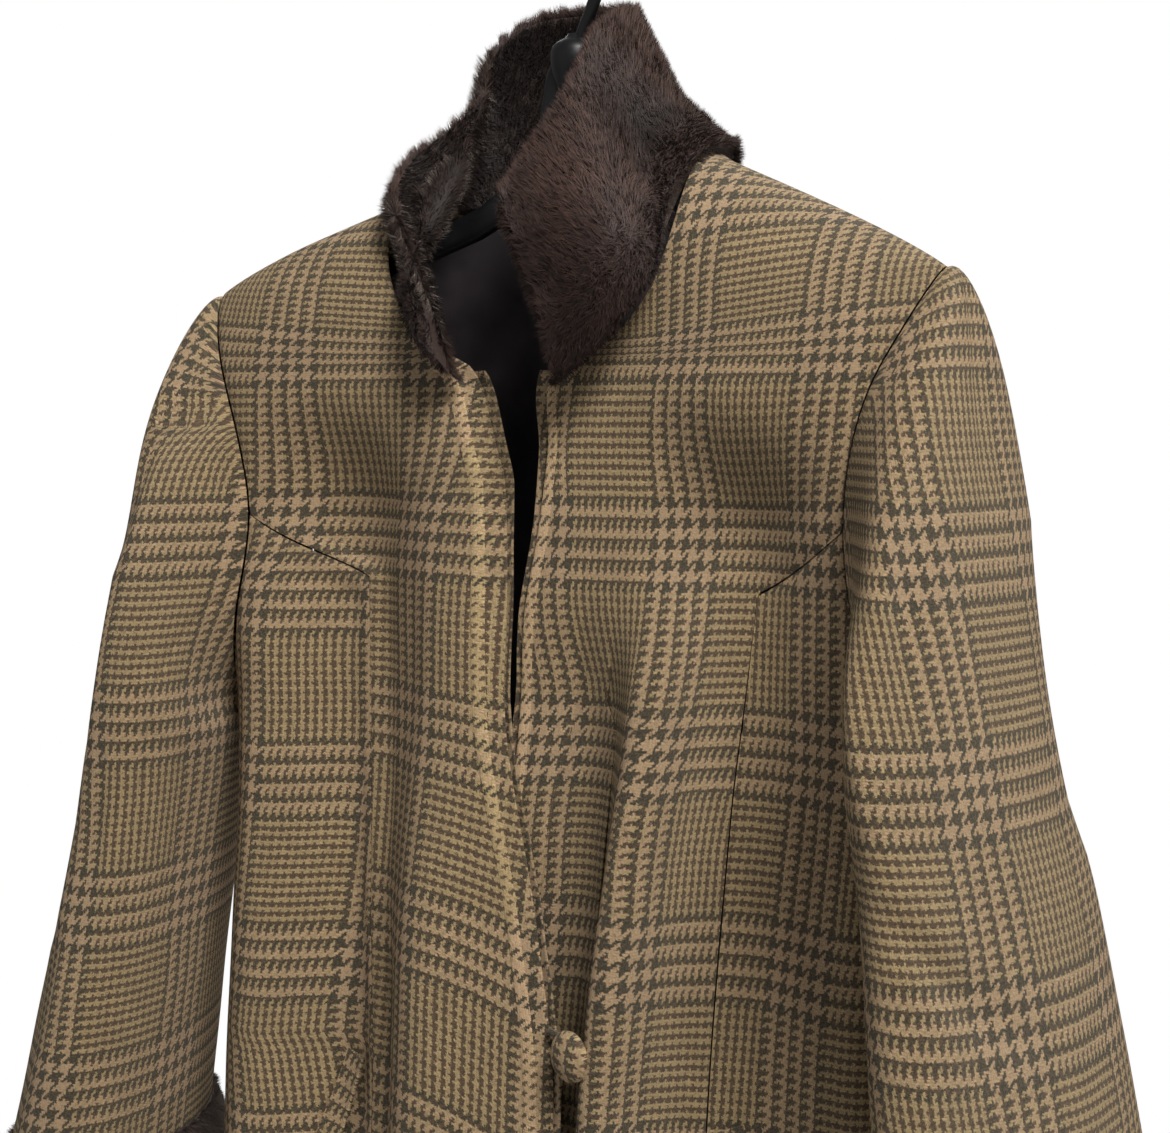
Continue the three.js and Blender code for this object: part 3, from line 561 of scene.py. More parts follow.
def waver(x, z, seed):
    """The slight unevenness of cloth that hangs."""
    slow = np.sin(x / 31 + 1.7 * seed) * np.sin(z / 57 + seed)
    quick = np.sin(x / 13 + z / 41 + 2.1 * seed) * np.sin(z / 23 - x / 37 + seed)
    return 0.7 * slow + 0.28 * quick


def edge_fall(grid, edges, thick):
    """How far both faces of a panel draw in beside its edges: at a seam the outside sinks, and a
    turned edge is rounded. Gives (fall of the outer face, rise of the inner face)."""
    across, down = arc_lengths(grid, 1), arc_lengths(grid, 0)
    away = {
        "start": across, "end": across[:, -1:] - across, "top": down, "bottom": down[-1:] - down,
    }
    fall, rise = np.zeros(across.shape), np.zeros(across.shape)
    for name, kind in edges.items():
        d = away[name]
        if kind == "seam":
            fall = np.maximum(fall, 0.8 * np.exp(-((d / 2.6) ** 2)))
        else:
            bent = 1 - np.sqrt(1 - np.clip(1 - d / 1.4, 0, 1) ** 2)
            fall = np.maximum(fall, 0.45 * thick * bent)
            rise = np.maximum(rise, 0.45 * thick * bent)
    return fall, rise


class LevelArcs:
    """Distances along level sections of a surface, from a table of its points. section(at, z) gives a
    point; at is the distance out, or the angle round a sleeve."""

    def __init__(self, section, first_at, last_at, top_z, low_z):
        self.at0, self.z0 = first_at, top_z
        at, z = np.meshgrid(np.linspace(first_at, last_at, 241), np.linspace(top_z, low_z, 101))
        self.step_at, self.step_z = at[0, 1] - at[0, 0], z[1, 0] - z[0, 0]
        self.arcs = arc_lengths(section(at, z) * (1, 1, 0), 1)

    def from_line(self, at, z, line):
        return self.up_to(at, z) - self.up_to(along(line, z, "at"), z)

    def up_to(self, at, z):
        rows, columns = self.arcs.shape
        i = (at - self.at0) / self.step_at
        j = np.clip((z - self.z0) / self.step_z, 0, rows - 1.001)
        i0 = np.clip(np.floor(i).astype(int), 0, columns - 2)
        j0 = j.astype(int)
        a = lerp(self.arcs[j0, i0], self.arcs[j0, i0 + 1], i - i0)
        b = lerp(self.arcs[j0 + 1, i0], self.arcs[j0 + 1, i0 + 1], i - i0)
        return lerp(a, b, j - j0)


def check_places(grid, across, grain, flip, sag=0.0):
    """Where each point of a panel lies in the check, in millimetres from the start of a repeat. across is
    its distance from the panel's grain line."""
    sizes = bpy.context.scene.coat_sizes
    spread, fine_row = grain[1:]
    down = arc_lengths(grid, 0)
    z = grid[..., 2]
    level = np.array([np.interp(-SHOULDER_Z, -z[:, k], down[:, k]) for k in range(grid.shape[1])])
    over = LEVEL_Z - SHOULDER_Z - level + down
    rows = np.where(z < SHOULDER_Z, LEVEL_Z - z, over)
    side = 1 if flip else -1
    pitch_u = sizes.check_width / MM / REPEAT_THREADS
    pitch_v = sizes.check_height / MM / REPEAT_THREADS
    u = side * across / spread + FINE_CENTRE * pitch_u
    v = rows - fine_row - sag + FINE_CENTRE * pitch_v
    return np.stack([u, v], -1)


def from_middle(grid):
    """Level distances from the middle of the back."""
    across = arc_lengths(grid * (1, 1, 0), 1)
    return across - np.array([np.interp(0, x, row) for x, row in zip(grid[..., 0], across)])[:, None]


def from_grain(side, grid, name):
    """Level distances of a front's points from its grain line."""
    arcs = LevelArcs(lambda out, z: front_at(side, out, z), -30.0, 214.0, SHOULDER_Z, HEM_Z)
    return arcs.from_line(side.sign * grid[..., 0], grid[..., 2], GRAIN[name][0])


def sleeve_at(side, angle, z):
    """Points of a sleeve by angle and height. angle is the same all down a column."""
    v = 1 + (SLEEVE_TOP_Z - z) / (SLEEVE_TOP_Z - SLEEVE_END_Z)
    steps = np.linspace(0, 1, 160)
    turns, rows = np.meshgrid(angle[0], steps)
    falls = np.maximum.accumulate(-sleeve_point(side, turns, rows)[..., 2], axis=0)
    for k in range(angle.shape[1]):
        v[:, k] = np.where(z[:, k] > SLEEVE_TOP_Z, np.interp(-z[:, k], falls[:, k], steps), v[:, k])
    return sleeve_point(side, angle, v)


def new_object(name, vertices, faces, maps=None, keep_angle=48):
    """A mesh object from points in millimetres and faces with equal counts of corners. maps holds named
    UV maps, with a pair for each point."""
    vertices = np.ascontiguousarray(vertices, np.float32) * np.float32(MM)
    faces = np.ascontiguousarray(faces, np.int32)
    count, corners = faces.shape
    mesh = bpy.data.meshes.new(name)
    mesh.vertices.add(len(vertices))
    mesh.vertices.foreach_set("co", vertices.ravel())
    mesh.loops.add(count * corners)
    mesh.loops.foreach_set("vertex_index", faces.ravel())
    mesh.polygons.add(count)
    mesh.polygons.foreach_set("loop_start", np.arange(0, count * corners, corners, dtype=np.int32))
    mesh.polygons.foreach_set("use_smooth", np.ones(count, bool))
    mesh.update(calc_edges=True)
    for map_name, uv in (maps or {}).items():
        layer = mesh.uv_layers.new(name=map_name)
        layer.data.foreach_set("uv", np.asarray(uv, np.float32)[faces.ravel()].ravel())
    if keep_angle:
        mesh.set_sharp_from_angle(angle=math.radians(keep_angle))
    obj = bpy.data.objects.new(name, mesh)
    bpy.context.scene.collection.objects.link(obj)
    return obj


def shell_faces(rows, columns, flip, closed=False):
    """Faces of a closed wall whose outer grid of points is followed by its inner grid."""
    inner = rows * columns
    spans = columns if closed else columns - 1
    j, i = np.meshgrid(np.arange(rows - 1), np.arange(spans), indexing="ij")
    a = (j * columns + i).ravel()
    b = (j * columns + (i + 1) % columns).ravel()
    faces = [np.stack([a, b, b + columns, a + columns], 1)]
    faces.append(np.stack([a, a + columns, b + columns, b], 1) + inner)
    i = np.arange(spans)
    k = (i + 1) % columns
    faces.append(np.stack([i, i + inner, k + inner, k], 1))
    last = (rows - 1) * columns
    faces.append(np.stack([i, k, k + inner, i + inner], 1) + last)
    if not closed:
        s = np.arange(rows - 1) * columns
        e = s + columns - 1
        faces.append(np.stack([s, s + columns, s + columns + inner, s + inner], 1))
        faces.append(np.stack([e, e + inner, e + columns + inner, e + columns], 1))
    faces = np.concatenate(faces)
    return faces[:, ::-1] if flip else faces


def cloth_panel(name, grid, flip, outer, inner, edges, uv=None, highlight_strip=None):
    """A closed wall of cloth between two offsets from a grid of points. uv is in millimetres; the last
    argument is 0 at the middle of the strip along a front's edge, where a highlight is painted, and 1 at its
    sides."""
    normals = grid_normals(grid, flip)
    fall, rise = edge_fall(grid, edges, outer - inner)
    outside = grid + normals * (outer - fall)[..., None]
    inside = grid + normals * (inner + rise)[..., None]
    rows, columns = grid.shape[:2]
    vertices = np.concatenate([outside.reshape(-1, 3), inside.reshape(-1, 3)])
    maps = {}
    if uv is not None:
        maps["Cloth"] = np.tile(uv.reshape(-1, 2) * MM, (2, 1))
    if highlight_strip is not None:
        flagged = np.stack([highlight_strip.ravel(), np.ones(highlight_strip.size)], 1)
        maps["Strip"] = np.tile(flagged, (2, 1))
    return new_object(name, vertices, shell_faces(rows, columns, flip), maps)


def creased(grid, flip, creases, at, seed):
    """The grid with its small creases, which die out at the panel's edges."""
    across, down = arc_lengths(grid, 1), arc_lengths(grid, 0)
    beside = np.minimum(across, across[:, -1:] - across)
    lift = crease_lift(creases, at, grid[..., 2]) + waver(grid[..., 0], grid[..., 2], seed)
    calm = smooth(beside / 14) * smooth(down / 18) * smooth((down[-1:] - down) / 6 + 0.4)
    return grid + grid_normals(grid, flip) * (lift * calm)[..., None]


def edge_roll(side, away, z):
    """How a front's edge stands: its last millimetres roll in on the right front, and a raised strip
    runs beside them with a groove at its inner side."""
    centre, half = EDGE_STRIP[side.name]
    below_neck = smooth((FRONT_NECK_Z + 4 - z) / 12)
    lapped = lerp(1.0, 0.22, smooth((-335 - z) / 60))
    turned = -6.5 * (1 - smooth(away / (centre - half + 3))) * lapped if side is RIGHT else 0
    raised = 0.7 * np.exp(-(((away - centre) / half) ** 4))
    groove = -0.6 * np.exp(-(((away - centre - half - 0.6) / 0.9) ** 2))
    return (turned + raised + groove) * below_neck


def round_bar(path, radius, sides=16):
    """Vertices and faces of a bar of round section through a path; radius may change along it."""
    path = np.asarray(path, float)
    radius = np.broadcast_to(radius, len(path))
    ahead = unit(np.gradient(path, axis=0))
    across = unit(np.cross(ahead[0], (0.1, 1.0, 0.2)))
    rings = []
    for p, d, r in zip(path, ahead, radius):
        across = unit(across - d * np.dot(across, d))
        other = np.cross(d, across)
        turn = np.arange(sides) / sides * 2 * math.pi
        rings.append(p + r * (np.cos(turn)[:, None] * across + np.sin(turn)[:, None] * other))
    return np.concatenate(rings), ring_faces(len(path), sides)


def ring_faces(rings, sides):
    """Faces of a bar through rings of points. Its ends are closed by faces of four corners."""
    j, i = np.meshgrid(np.arange(rings - 1), np.arange(sides), indexing="ij")
    a = (j * sides + i).ravel()
    b = (j * sides + (i + 1) % sides).ravel()
    faces = [np.stack([a, b, b + sides, a + sides], 1)]
    k = np.arange(sides // 2 - 1)
    lid = np.stack([k, k + 1, sides - 2 - k, sides - 1 - k], 1)
    faces += [lid[:, ::-1], lid + (rings - 1) * sides]
    return np.concatenate(faces)


def merge_parts(parts):
    """Joins (vertices, faces) pairs into one."""
    vertices, faces, first = [], [], 0
    for v, f in parts:
        vertices.append(v)
        faces.append(f + first)
        first += len(v)
    return np.concatenate(vertices), np.concatenate(faces)


def through(knots, count):
    """Evenly counted points on a smooth curve through a few knots."""
    knots = np.asarray(knots, float)
    s = np.linspace(0, len(knots) - 1, count)
    i = np.clip(np.floor(s).astype(int), 0, len(knots) - 2)
    t = (s - i)[:, None]
    a, b, c, d = (knots[np.clip(i + k, 0, len(knots) - 1)] for k in (-1, 0, 1, 2))
    return b + 0.5 * t * (c - a + t * (2 * a - 5 * b + 4 * c - d + t * (3 * (b - c) + d - a)))


def fit_to_coat(obj, material, slot, *nodes):
    """Gives a piece its finish and its place on the coat."""
    obj.data.materials.clear()
    obj.data.materials.append(material)
    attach(obj, "root")
    if nodes:
        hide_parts(*nodes)
    return obj


# ------------------------------------------------------------------ finishes
class Term:
    """A number at each point of a surface, so that a pattern reads as a formula."""

    def __init__(self, tree, socket):
        self.tree = tree
        self.socket = socket

    def _node(self, operation, *others):
        node = self.tree.nodes.new("ShaderNodeMath")
        node.operation = operation
        for place, value in zip(node.inputs, (self, *others)):
            if isinstance(value, Term):
                self.tree.links.new(value.socket, place)
            else:
                place.default_value = value
        return Term(self.tree, node.outputs[0])

    def __add__(self, other):
        return self._node("ADD", other)

    def __sub__(self, other):
        return self._node("SUBTRACT", other)

    def __mul__(self, other):
        return self._node("MULTIPLY", other)

    def __truediv__(self, other):
        return self._node("DIVIDE", other)

    def __mod__(self, other):
        return self._node("FLOORED_MODULO", other)

    def below(self, other):
        return self._node("LESS_THAN", other)

    def floor(self):
        return self._node("FLOOR")

    def power(self, other):
        return self._node("POWER", other)

    def choose(self, when_one, when_zero):
        """when_one where this number is 1, and when_zero where it is 0."""
        return when_zero + self * (when_one - when_zero)


class Finish:
    """A material under construction: its tree, its shader and the nodes that most finishes need."""

    def __init__(self, name):
        self.material = bpy.data.materials.new(name)
        self.material.use_nodes = True
        self.tree = self.material.node_tree
        self.shader = next(n for n in self.tree.nodes if n.type == "BSDF_PRINCIPLED")

    def link(self, source, place):
        self.tree.links.new(source.socket if isinstance(source, Term) else source, place)

    def colour(self, term):
        self.link(term, self.shader.inputs["Base Color"])

    def coordinates(self, uv_map=None):
        if uv_map:
            node = self.tree.nodes.new("ShaderNodeUVMap")
            node.uv_map = uv_map
            return node.outputs["UV"]
        return self.tree.nodes.new("ShaderNodeTexCoord").outputs["Object"]

    def split(self, vector):
        node = self.tree.nodes.new("ShaderNodeSeparateXYZ")
        self.link(vector, node.inputs[0])
        return [Term(self.tree, out) for out in node.outputs]

    def vector(self, x, y, z=0.0):
        node = self.tree.nodes.new("ShaderNodeCombineXYZ")
        for value, place in zip((x, y, z), node.inputs):
            if isinstance(value, Term):
                self.link(value, place)
            else:
                place.default_value = value
        return node.outputs[0]

    def noise(self, vector, scale, detail=2.0, roughness=0.5):
        node = self.tree.nodes.new("ShaderNodeTexNoise")
        node.inputs["Scale"].default_value = scale
        node.inputs["Detail"].default_value = detail
        node.inputs["Roughness"].default_value = roughness
        self.link(vector, node.inputs["Vector"])
        return Term(self.tree, node.outputs["Fac"])

    def blend(self, factor, zero, one, mode="MIX"):
        node = self.tree.nodes.new("ShaderNodeMix")
        node.data_type = "RGBA"
        node.blend_type = mode
        places = [p for p in node.inputs if p.enabled]
        for value, place in zip((factor, zero, one), places):
            if isinstance(value, (Term, bpy.types.NodeSocket)):
                self.link(value, place)
            elif place.type == "RGBA":
                place.default_value = (*value, 1.0)
            else:
                place.default_value = value
        return next(p for p in node.outputs if p.enabled)

    def shade(self, colour, amount):
        """The colour, lighter or darker by a number around 1."""
        grey = self.tree.nodes.new("ShaderNodeCombineColor")
        for place in grey.inputs:
            self.link(amount, place)
        return self.blend(1.0, colour, grey.outputs[0], mode="MULTIPLY")

    def bump(self, height, distance, strength=1.0):
        node = self.tree.nodes.new("ShaderNodeBump")
        node.inputs["Strength"].default_value = strength
        node.inputs["Distance"].default_value = distance
        self.link(height, node.inputs["Height"])
        self.link(node.outputs[0], self.shader.inputs["Normal"])

    def set(self, **values):
        """Constant values on the shader's own sockets, named with _ for a space."""
        for name, value in values.items():
            self.shader.inputs[name.replace("_", " ")].default_value = value


def checked_tweed(name, painted_shade_factor=1.0):
    """Glen check in a two-and-two twill: bands of four dark and four light threads, crossed and parted
    by pairs, in napped wool. The threads follow the Cloth map, which is in metres."""
    colours = bpy.context.scene.coat_colours
    sizes = bpy.context.scene.coat_sizes
    f = Finish(name)
    cloth = f.coordinates("Cloth")
    u, v = f.split(cloth)[:2]
    fuzz_u = f.noise(cloth, 1250, 3, 0.7)
    fuzz_v = f.noise(f.vector(v + 3.1, u + 7.7), 1250, 3, 0.7)
    pull = f.noise(cloth, 150, 2)
    swing_u = (fuzz_u - 0.5) * 0.0036 + (pull - 0.5) * 0.0012
    swing_v = (fuzz_v - 0.5) * 0.0036 + (pull - 0.5) * 0.0012
    threads_u = (u + swing_u) / (sizes.check_width / REPEAT_THREADS)
    threads_v = (v + swing_v) / (sizes.check_height / REPEAT_THREADS)

    def yarn(threads):
        """(thread number, 1 in a band of fours, 1 where the thread is dark)"""
        number = threads.floor()
        place = number % REPEAT_THREADS
        coarse = place.below(COARSE_THREADS)
        fours = (place % 8).below(3.5)
        pairs = ((place - COARSE_THREADS + 2) % 4).below(1.5)
        return number, coarse, coarse.choose(fours, pairs)

    warp, warp_coarse, warp_dark = yarn(threads_u)
    weft, weft_coarse, weft_dark = yarn(threads_v)
    # Painted highlight: in the strip along a front's edge the dark warp threads are left out and the colour
    # is raised by 0.3, standing in for light on the cloth where the edge turns.
    along_strip, on_front = f.split(f.coordinates("Strip"))[:2]
    highlight_strip = (along_strip * along_strip).below(1.0) * on_front
    warp_dark = warp_dark * (highlight_strip * -1.0 + 1.0)
    warp_up = ((warp + weft) % 4).below(1.5)
    dark = warp_up.choose(warp_dark, weft_dark)
    coarse = warp_up.choose(warp_coarse, weft_coarse)
    light_yarn = f.blend(coarse, colours.fine_light, colours.coarse_light)
    dark_yarn = f.blend(coarse, colours.fine_dark, colours.coarse_dark)
    heather = f.noise(cloth, 2300, 3, 0.8)
    tufts = f.noise(f.vector(u + 1.3, v + 2.9), 900, 2, 0.6)
    soft = f.noise(cloth, 45, 3, 0.6)
    mixed = dark * 0.9 + 0.05 + (heather - 0.5) * 1.3 + (tufts - 0.5) * 0.9
    flecks = (f.noise(f.vector(u + 5.1, v + 0.7), 620, 2, 0.7) - 0.54) * 3.2
    yarns = f.blend(flecks, f.blend(mixed, light_yarn, dark_yarn), colours.flecks)
    across = warp_up.choose(threads_u % 1.0, threads_v % 1.0)
    # Each thread's rounded crown: it raises the bump, and in the colour it is painted shade, darker toward
    # the gaps between threads.
    crown = across * (across * -1.0 + 1.0) * 4.0
    # Painted shade: the last factor dims the whole tweed for a darker copy of it.
    amount = (heather * 0.7 + 0.66) * (soft * 0.3 + 0.85) * (crown * 0.34 + 0.78) * (highlight_strip * 0.3 + painted_shade_factor)
    f.colour(f.shade(yarns, amount))
    f.bump(crown * 0.8 + heather * 1.3 + tufts * 0.8, 0.0005)
    f.set(Roughness=0.94, Sheen_Weight=0.2, Sheen_Roughness=0.5, Sheen_Tint=(0.95, 0.88, 0.76, 1.0))
    f.set(Specular_IOR_Level=0.2)
    return f.material


def sheared_fur(name, on_hide=False):
    """Dark brown fur. On the hide it is a streaked nap; on the pile it runs from root to tip by the
    Pile map, whose first value is the hair's own."""
    colours = bpy.context.scene.coat_colours
    f = Finish(name)
    place = f.coordinates()
    patches = f.noise(place, 38, 3, 0.6)
    if on_hide:
        streaks = f.noise(place, 900, 2, 0.6)
        colour = f.blend(streaks * 0.5, colours.fur_root, colours.fur_tip)
        f.bump(streaks, 0.0008)
    else:
        own, length = f.split(f.coordinates("Pile"))[:2]
        tip = length.power(0.8) * (own * 0.7 + 0.45) * (patches * 1.1 + 0.35)
        colour = f.blend(tip, colours.fur_root, colours.fur_tip)
        # Painted shade and light: each hair's colour is darkened or lightened by a value it carries, set
        # where the collar is built.
        painted_shading = f.split(f.coordinates("Tone"))[0]
        colour = f.shade(colour, painted_shading)
    f.colour(f.shade(colour, patches * 0.5 + 0.75))
    f.set(Roughness=0.62, Sheen_Weight=0.2, Sheen_Roughness=0.4, Sheen_Tint=(0.82, 0.66, 0.56, 1.0))
    f.set(Specular_IOR_Level=0.32)
    return f.material


def satin_lining(name):
    """Smooth charcoal lining with a fine twill."""
    colours = bpy.context.scene.coat_colours
    f = Finish(name)
    cloth = f.coordinates("Cloth")
    u, v = f.split(cloth)[:2]
    lines = ((u + v) / 0.0006) % 1.0
    soft = f.noise(cloth, 60, 3)
    # Painted sheen: the lining is mixed toward a lighter colour and brightened in soft patches, standing in
    # for light caught by its twill.
    f.colour(f.shade(f.blend(soft, colours.lining, colours.lining_painted_sheen), soft * 0.6 + 0.7))
    f.bump(lines + soft * 2.0, 0.00006)
    f.set(Roughness=0.42, Sheen_Weight=0.15, Sheen_Roughness=0.35, Anisotropic=0.4)
    return f.material


def moulded_black(name):
    """Glossy black plastic with a slight flow in its surface and fine scuffs."""
    colours = bpy.context.scene.coat_colours
    f = Finish(name)
    place = f.coordinates()
    flow = f.noise(place, 22, 2)
    scuffs = f.noise(place, 700, 3, 0.7)
    f.colour(f.shade(f.blend(flow, colours.hanger, colours.hanger_scuffed), scuffs * 0.5 + 0.75))
    f.link(scuffs * 0.16 + flow * 0.1 + 0.3, f.shader.inputs["Roughness"])
    f.bump(flow, 0.0004)
    f.set(Specular_IOR_Level=0.35)
    return f.material


def pale_floor(name):
    colours = bpy.context.scene.coat_colours
    f = Finish(name)
    grain = f.noise(f.coordinates(), 5, 4)
    f.colour(f.shade(f.blend(grain, colours.floor, colours.floor_grain), grain * 0.04 + 0.98))
    f.set(Roughness=0.8)
    return f.material


def finish_named(name, make, *args):
    """The material of that name, made the first time it is wanted."""
    return bpy.data.materials.get(name) or make(name, *args)


# ------------------------------------------------------------------ fur pile
class Pile:
    """Short hairs, each a narrow triangle, gathered from patches and edges."""

    def __init__(self, seed):
        self.random = np.random.default_rng(seed)
        self.roots = []
        self.ways = []
        self.outs = []
        self.lengths = []
        self.painted_shadings = []

    def plant(self, roots, ways, outs, lengths, painted_shadings):
        self.roots.append(roots)
        self.ways.append(ways)
        self.outs.append(outs)
        self.lengths.append(lengths)
        self.painted_shadings.append(painted_shadings + 0 * lengths)

    def clump(self, roots, size):
        """A slow sideways drift that gathers hairs into tufts."""
        x, y, z = (roots / size).T
        return np.stack([
            np.sin(1.9 * y + 1.3 * z + 2 * np.sin(x)),
            np.sin(1.7 * z + 1.1 * x + 2 * np.sin(y)),
            np.sin(2.1 * x + 1.5 * y + 2 * np.sin(z)),
        ], 1)

    def on_patch(self, grid, normals, comb, count, length, rise, edge_gain=None, painted_shading=None):
        """Hairs spread evenly over a grid of points. comb is the way they lie, and rise how far they stand
        up. The last argument scales the hairs' colour: painted shade where it is below 1, painted light
        where it is above 1."""
        du, dv = np.diff(grid, axis=1)[:-1], np.diff(grid, axis=0)[:, :-1]
        area = np.linalg.norm(np.cross(du, dv), axis=-1)
        cells = self.random.choice(area.size, count, p=(area / area.sum()).ravel())
        j, i = np.divmod(cells, area.shape[1])
        s, t = self.random.random((2, count, 1))

        def mixed(field):
            top = lerp(field[j, i], field[j, i + 1], s)
            low = lerp(field[j + 1, i], field[j + 1, i + 1], s)
            return lerp(top, low, t)

        roots, outs, ways = mixed(grid), unit(mixed(normals)), mixed(comb)
        jitter = self.random.normal(0, 1, (count, 3))
        ways = ways + 0.3 * self.clump(roots, 3.2) + 0.25 * self.clump(roots, 9.0) + 0.25 * jitter
        ways = unit(ways - outs * (ways * outs).sum(1, keepdims=True))
        lean = rise + 0.14 * self.random.normal(0, 1, (count, 1))
        lengths = length * self.random.uniform(0.72, 1.12, count)
        if edge_gain is not None:
            lengths *= mixed(edge_gain[..., None])[:, 0]
        painted_shadings = 1.0 if painted_shading is None else mixed(painted_shading[..., None])[:, 0]
        self.plant(roots - 0.4 * outs, unit(ways + outs * lean), outs, lengths, painted_shadings)

    def on_edge(self, line, ways, outs, count, length, fan, painted_shading=1.0):
        """Hairs along an edge, fanned to both faces."""
        s = self.random.uniform(0, len(line) - 1.001, count)
        i = s.astype(int)
        t = (s - i)[:, None]
        roots, way, out = (lerp(q[i], q[i + 1], t) for q in (line, ways, outs))
        spread = self.random.uniform(-fan, fan, (count, 1))
        jitter = 0.2 * self.random.normal(0, 1, (count, 3)) + 0.3 * self.clump(roots, 4.0)
        way = unit(unit(way) + unit(out) * spread + jitter)
        facing = unit(unit(out) * np.sign(spread) + way * 0.2)
        self.plant(roots, way, facing, length * self.random.uniform(0.6, 1.1, count), painted_shading)

    def grow(self, name, width):
        parts = (self.roots, self.ways, self.outs, self.lengths)
        roots, ways, outs, lengths = map(np.concatenate, parts)
        count = len(roots)
        twist = unit(outs + 0.6 * self.random.normal(0, 1, (count, 3)))
        broad = width * self.random.uniform(0.7, 1.3, (count, 1)) / 2
        across = unit(np.cross(ways, twist)) * broad
        tip = roots + ways * lengths[:, None]
        vertices = np.stack([roots - across, roots + across, tip], 1)
        faces = np.arange(count * 3).reshape(-1, 3)
        own = np.repeat(self.random.random(count), 3)
        # Painted shade and light of each hair, carried in a map for the fur's finish.
        painted_shadings = np.repeat(np.concatenate(self.painted_shadings), 3)
        maps = {
            "Pile": np.stack([own, np.tile([0, 0, 1], count)], 1),
            "Tone": np.stack([painted_shadings, 0 * painted_shadings], 1),
        }
        obj = new_object(name, vertices.reshape(-1, 3), faces, maps, keep_angle=None)
        normals = unit(outs + 0.25 * ways + 0.16 * self.random.normal(0, 1, (count, 3)))
        obj.data.normals_split_custom_set_from_vertices(np.repeat(normals, 3, axis=0).tolist())
        return obj


# ------------------------------------------------------------------ settings
def colour_setting(name, description, *bytes_of_colour):
    linear = [((c / 255 + 0.055) / 1.055) ** 2.4 for c in bytes_of_colour]
    return FloatVectorProperty(
        name=name, description=description, subtype="COLOR", size=3, min=0, max=1, default=linear,
    )


class CoatSizes(bpy.types.PropertyGroup):
    """Sizes that change the look of the coat and not its fit."""

    check_width: FloatProperty(
        name="Check Width", description="Width of one repeat of the check", default=0.088, unit="LENGTH",
    )
    check_height: FloatProperty(
        name="Check Height", description="Height of one repeat of the check", default=0.0986, unit="LENGTH",
    )
    pile_length: FloatProperty(
        name="Pile Length", description="Length of the fur's hairs", default=0.0062, unit="LENGTH",
    )
    hair_width: FloatProperty(
        name="Hair Width", description="Width of a hair at its root", default=0.00042, unit="LENGTH",
    )
    collar_hairs: IntProperty(
        name="Collar Hairs", description="Number of hairs on the collar", default=190000, min=1000,
    )
    cuff_hairs: IntProperty(
        name="Cuff Hairs", description="Number of hairs on each cuff", default=92000, min=1000,
    )


class CoatColours(bpy.types.PropertyGroup):
    """Colours of the coat's finishes."""

    coarse_dark: colour_setting("Coarse Dark", "Dark yarn in the bands of four threads", 52, 52, 38)
    coarse_light: colour_setting("Coarse Light", "Light yarn in the bands of four threads", 206, 174, 136)
    fine_dark: colour_setting("Fine Dark", "Dark yarn in the pairs of threads", 84, 66, 50)
    fine_light: colour_setting("Fine Light", "Light yarn in the pairs of threads", 192, 167, 122)
    flecks: colour_setting("Flecks", "Rust flecks spun into the yarns", 128, 84, 64)
    fur_root: colour_setting("Fur Root", "Fur beside the hide", 13, 9, 8)
    fur_tip: colour_setting("Fur Tip", "Fur at the tips of its hairs", 92, 68, 60)
    lining: colour_setting("Lining", "Smooth lining", 62, 56, 60)
    lining_painted_sheen: colour_setting("Lining Light", "Lining where its twill catches light", 74, 68, 72)
    hanger: colour_setting("Hanger", "Moulded hanger", 9, 9, 10)
    hanger_scuffed: colour_setting("Hanger Scuffed", "Moulded hanger where it is rubbed", 17, 16, 19)
    floor: colour_setting("Floor", "Floor under the coat", 232, 230, 228)
    floor_grain: colour_setting("Floor Grain", "Faint cloudiness of the floor", 226, 224, 221)


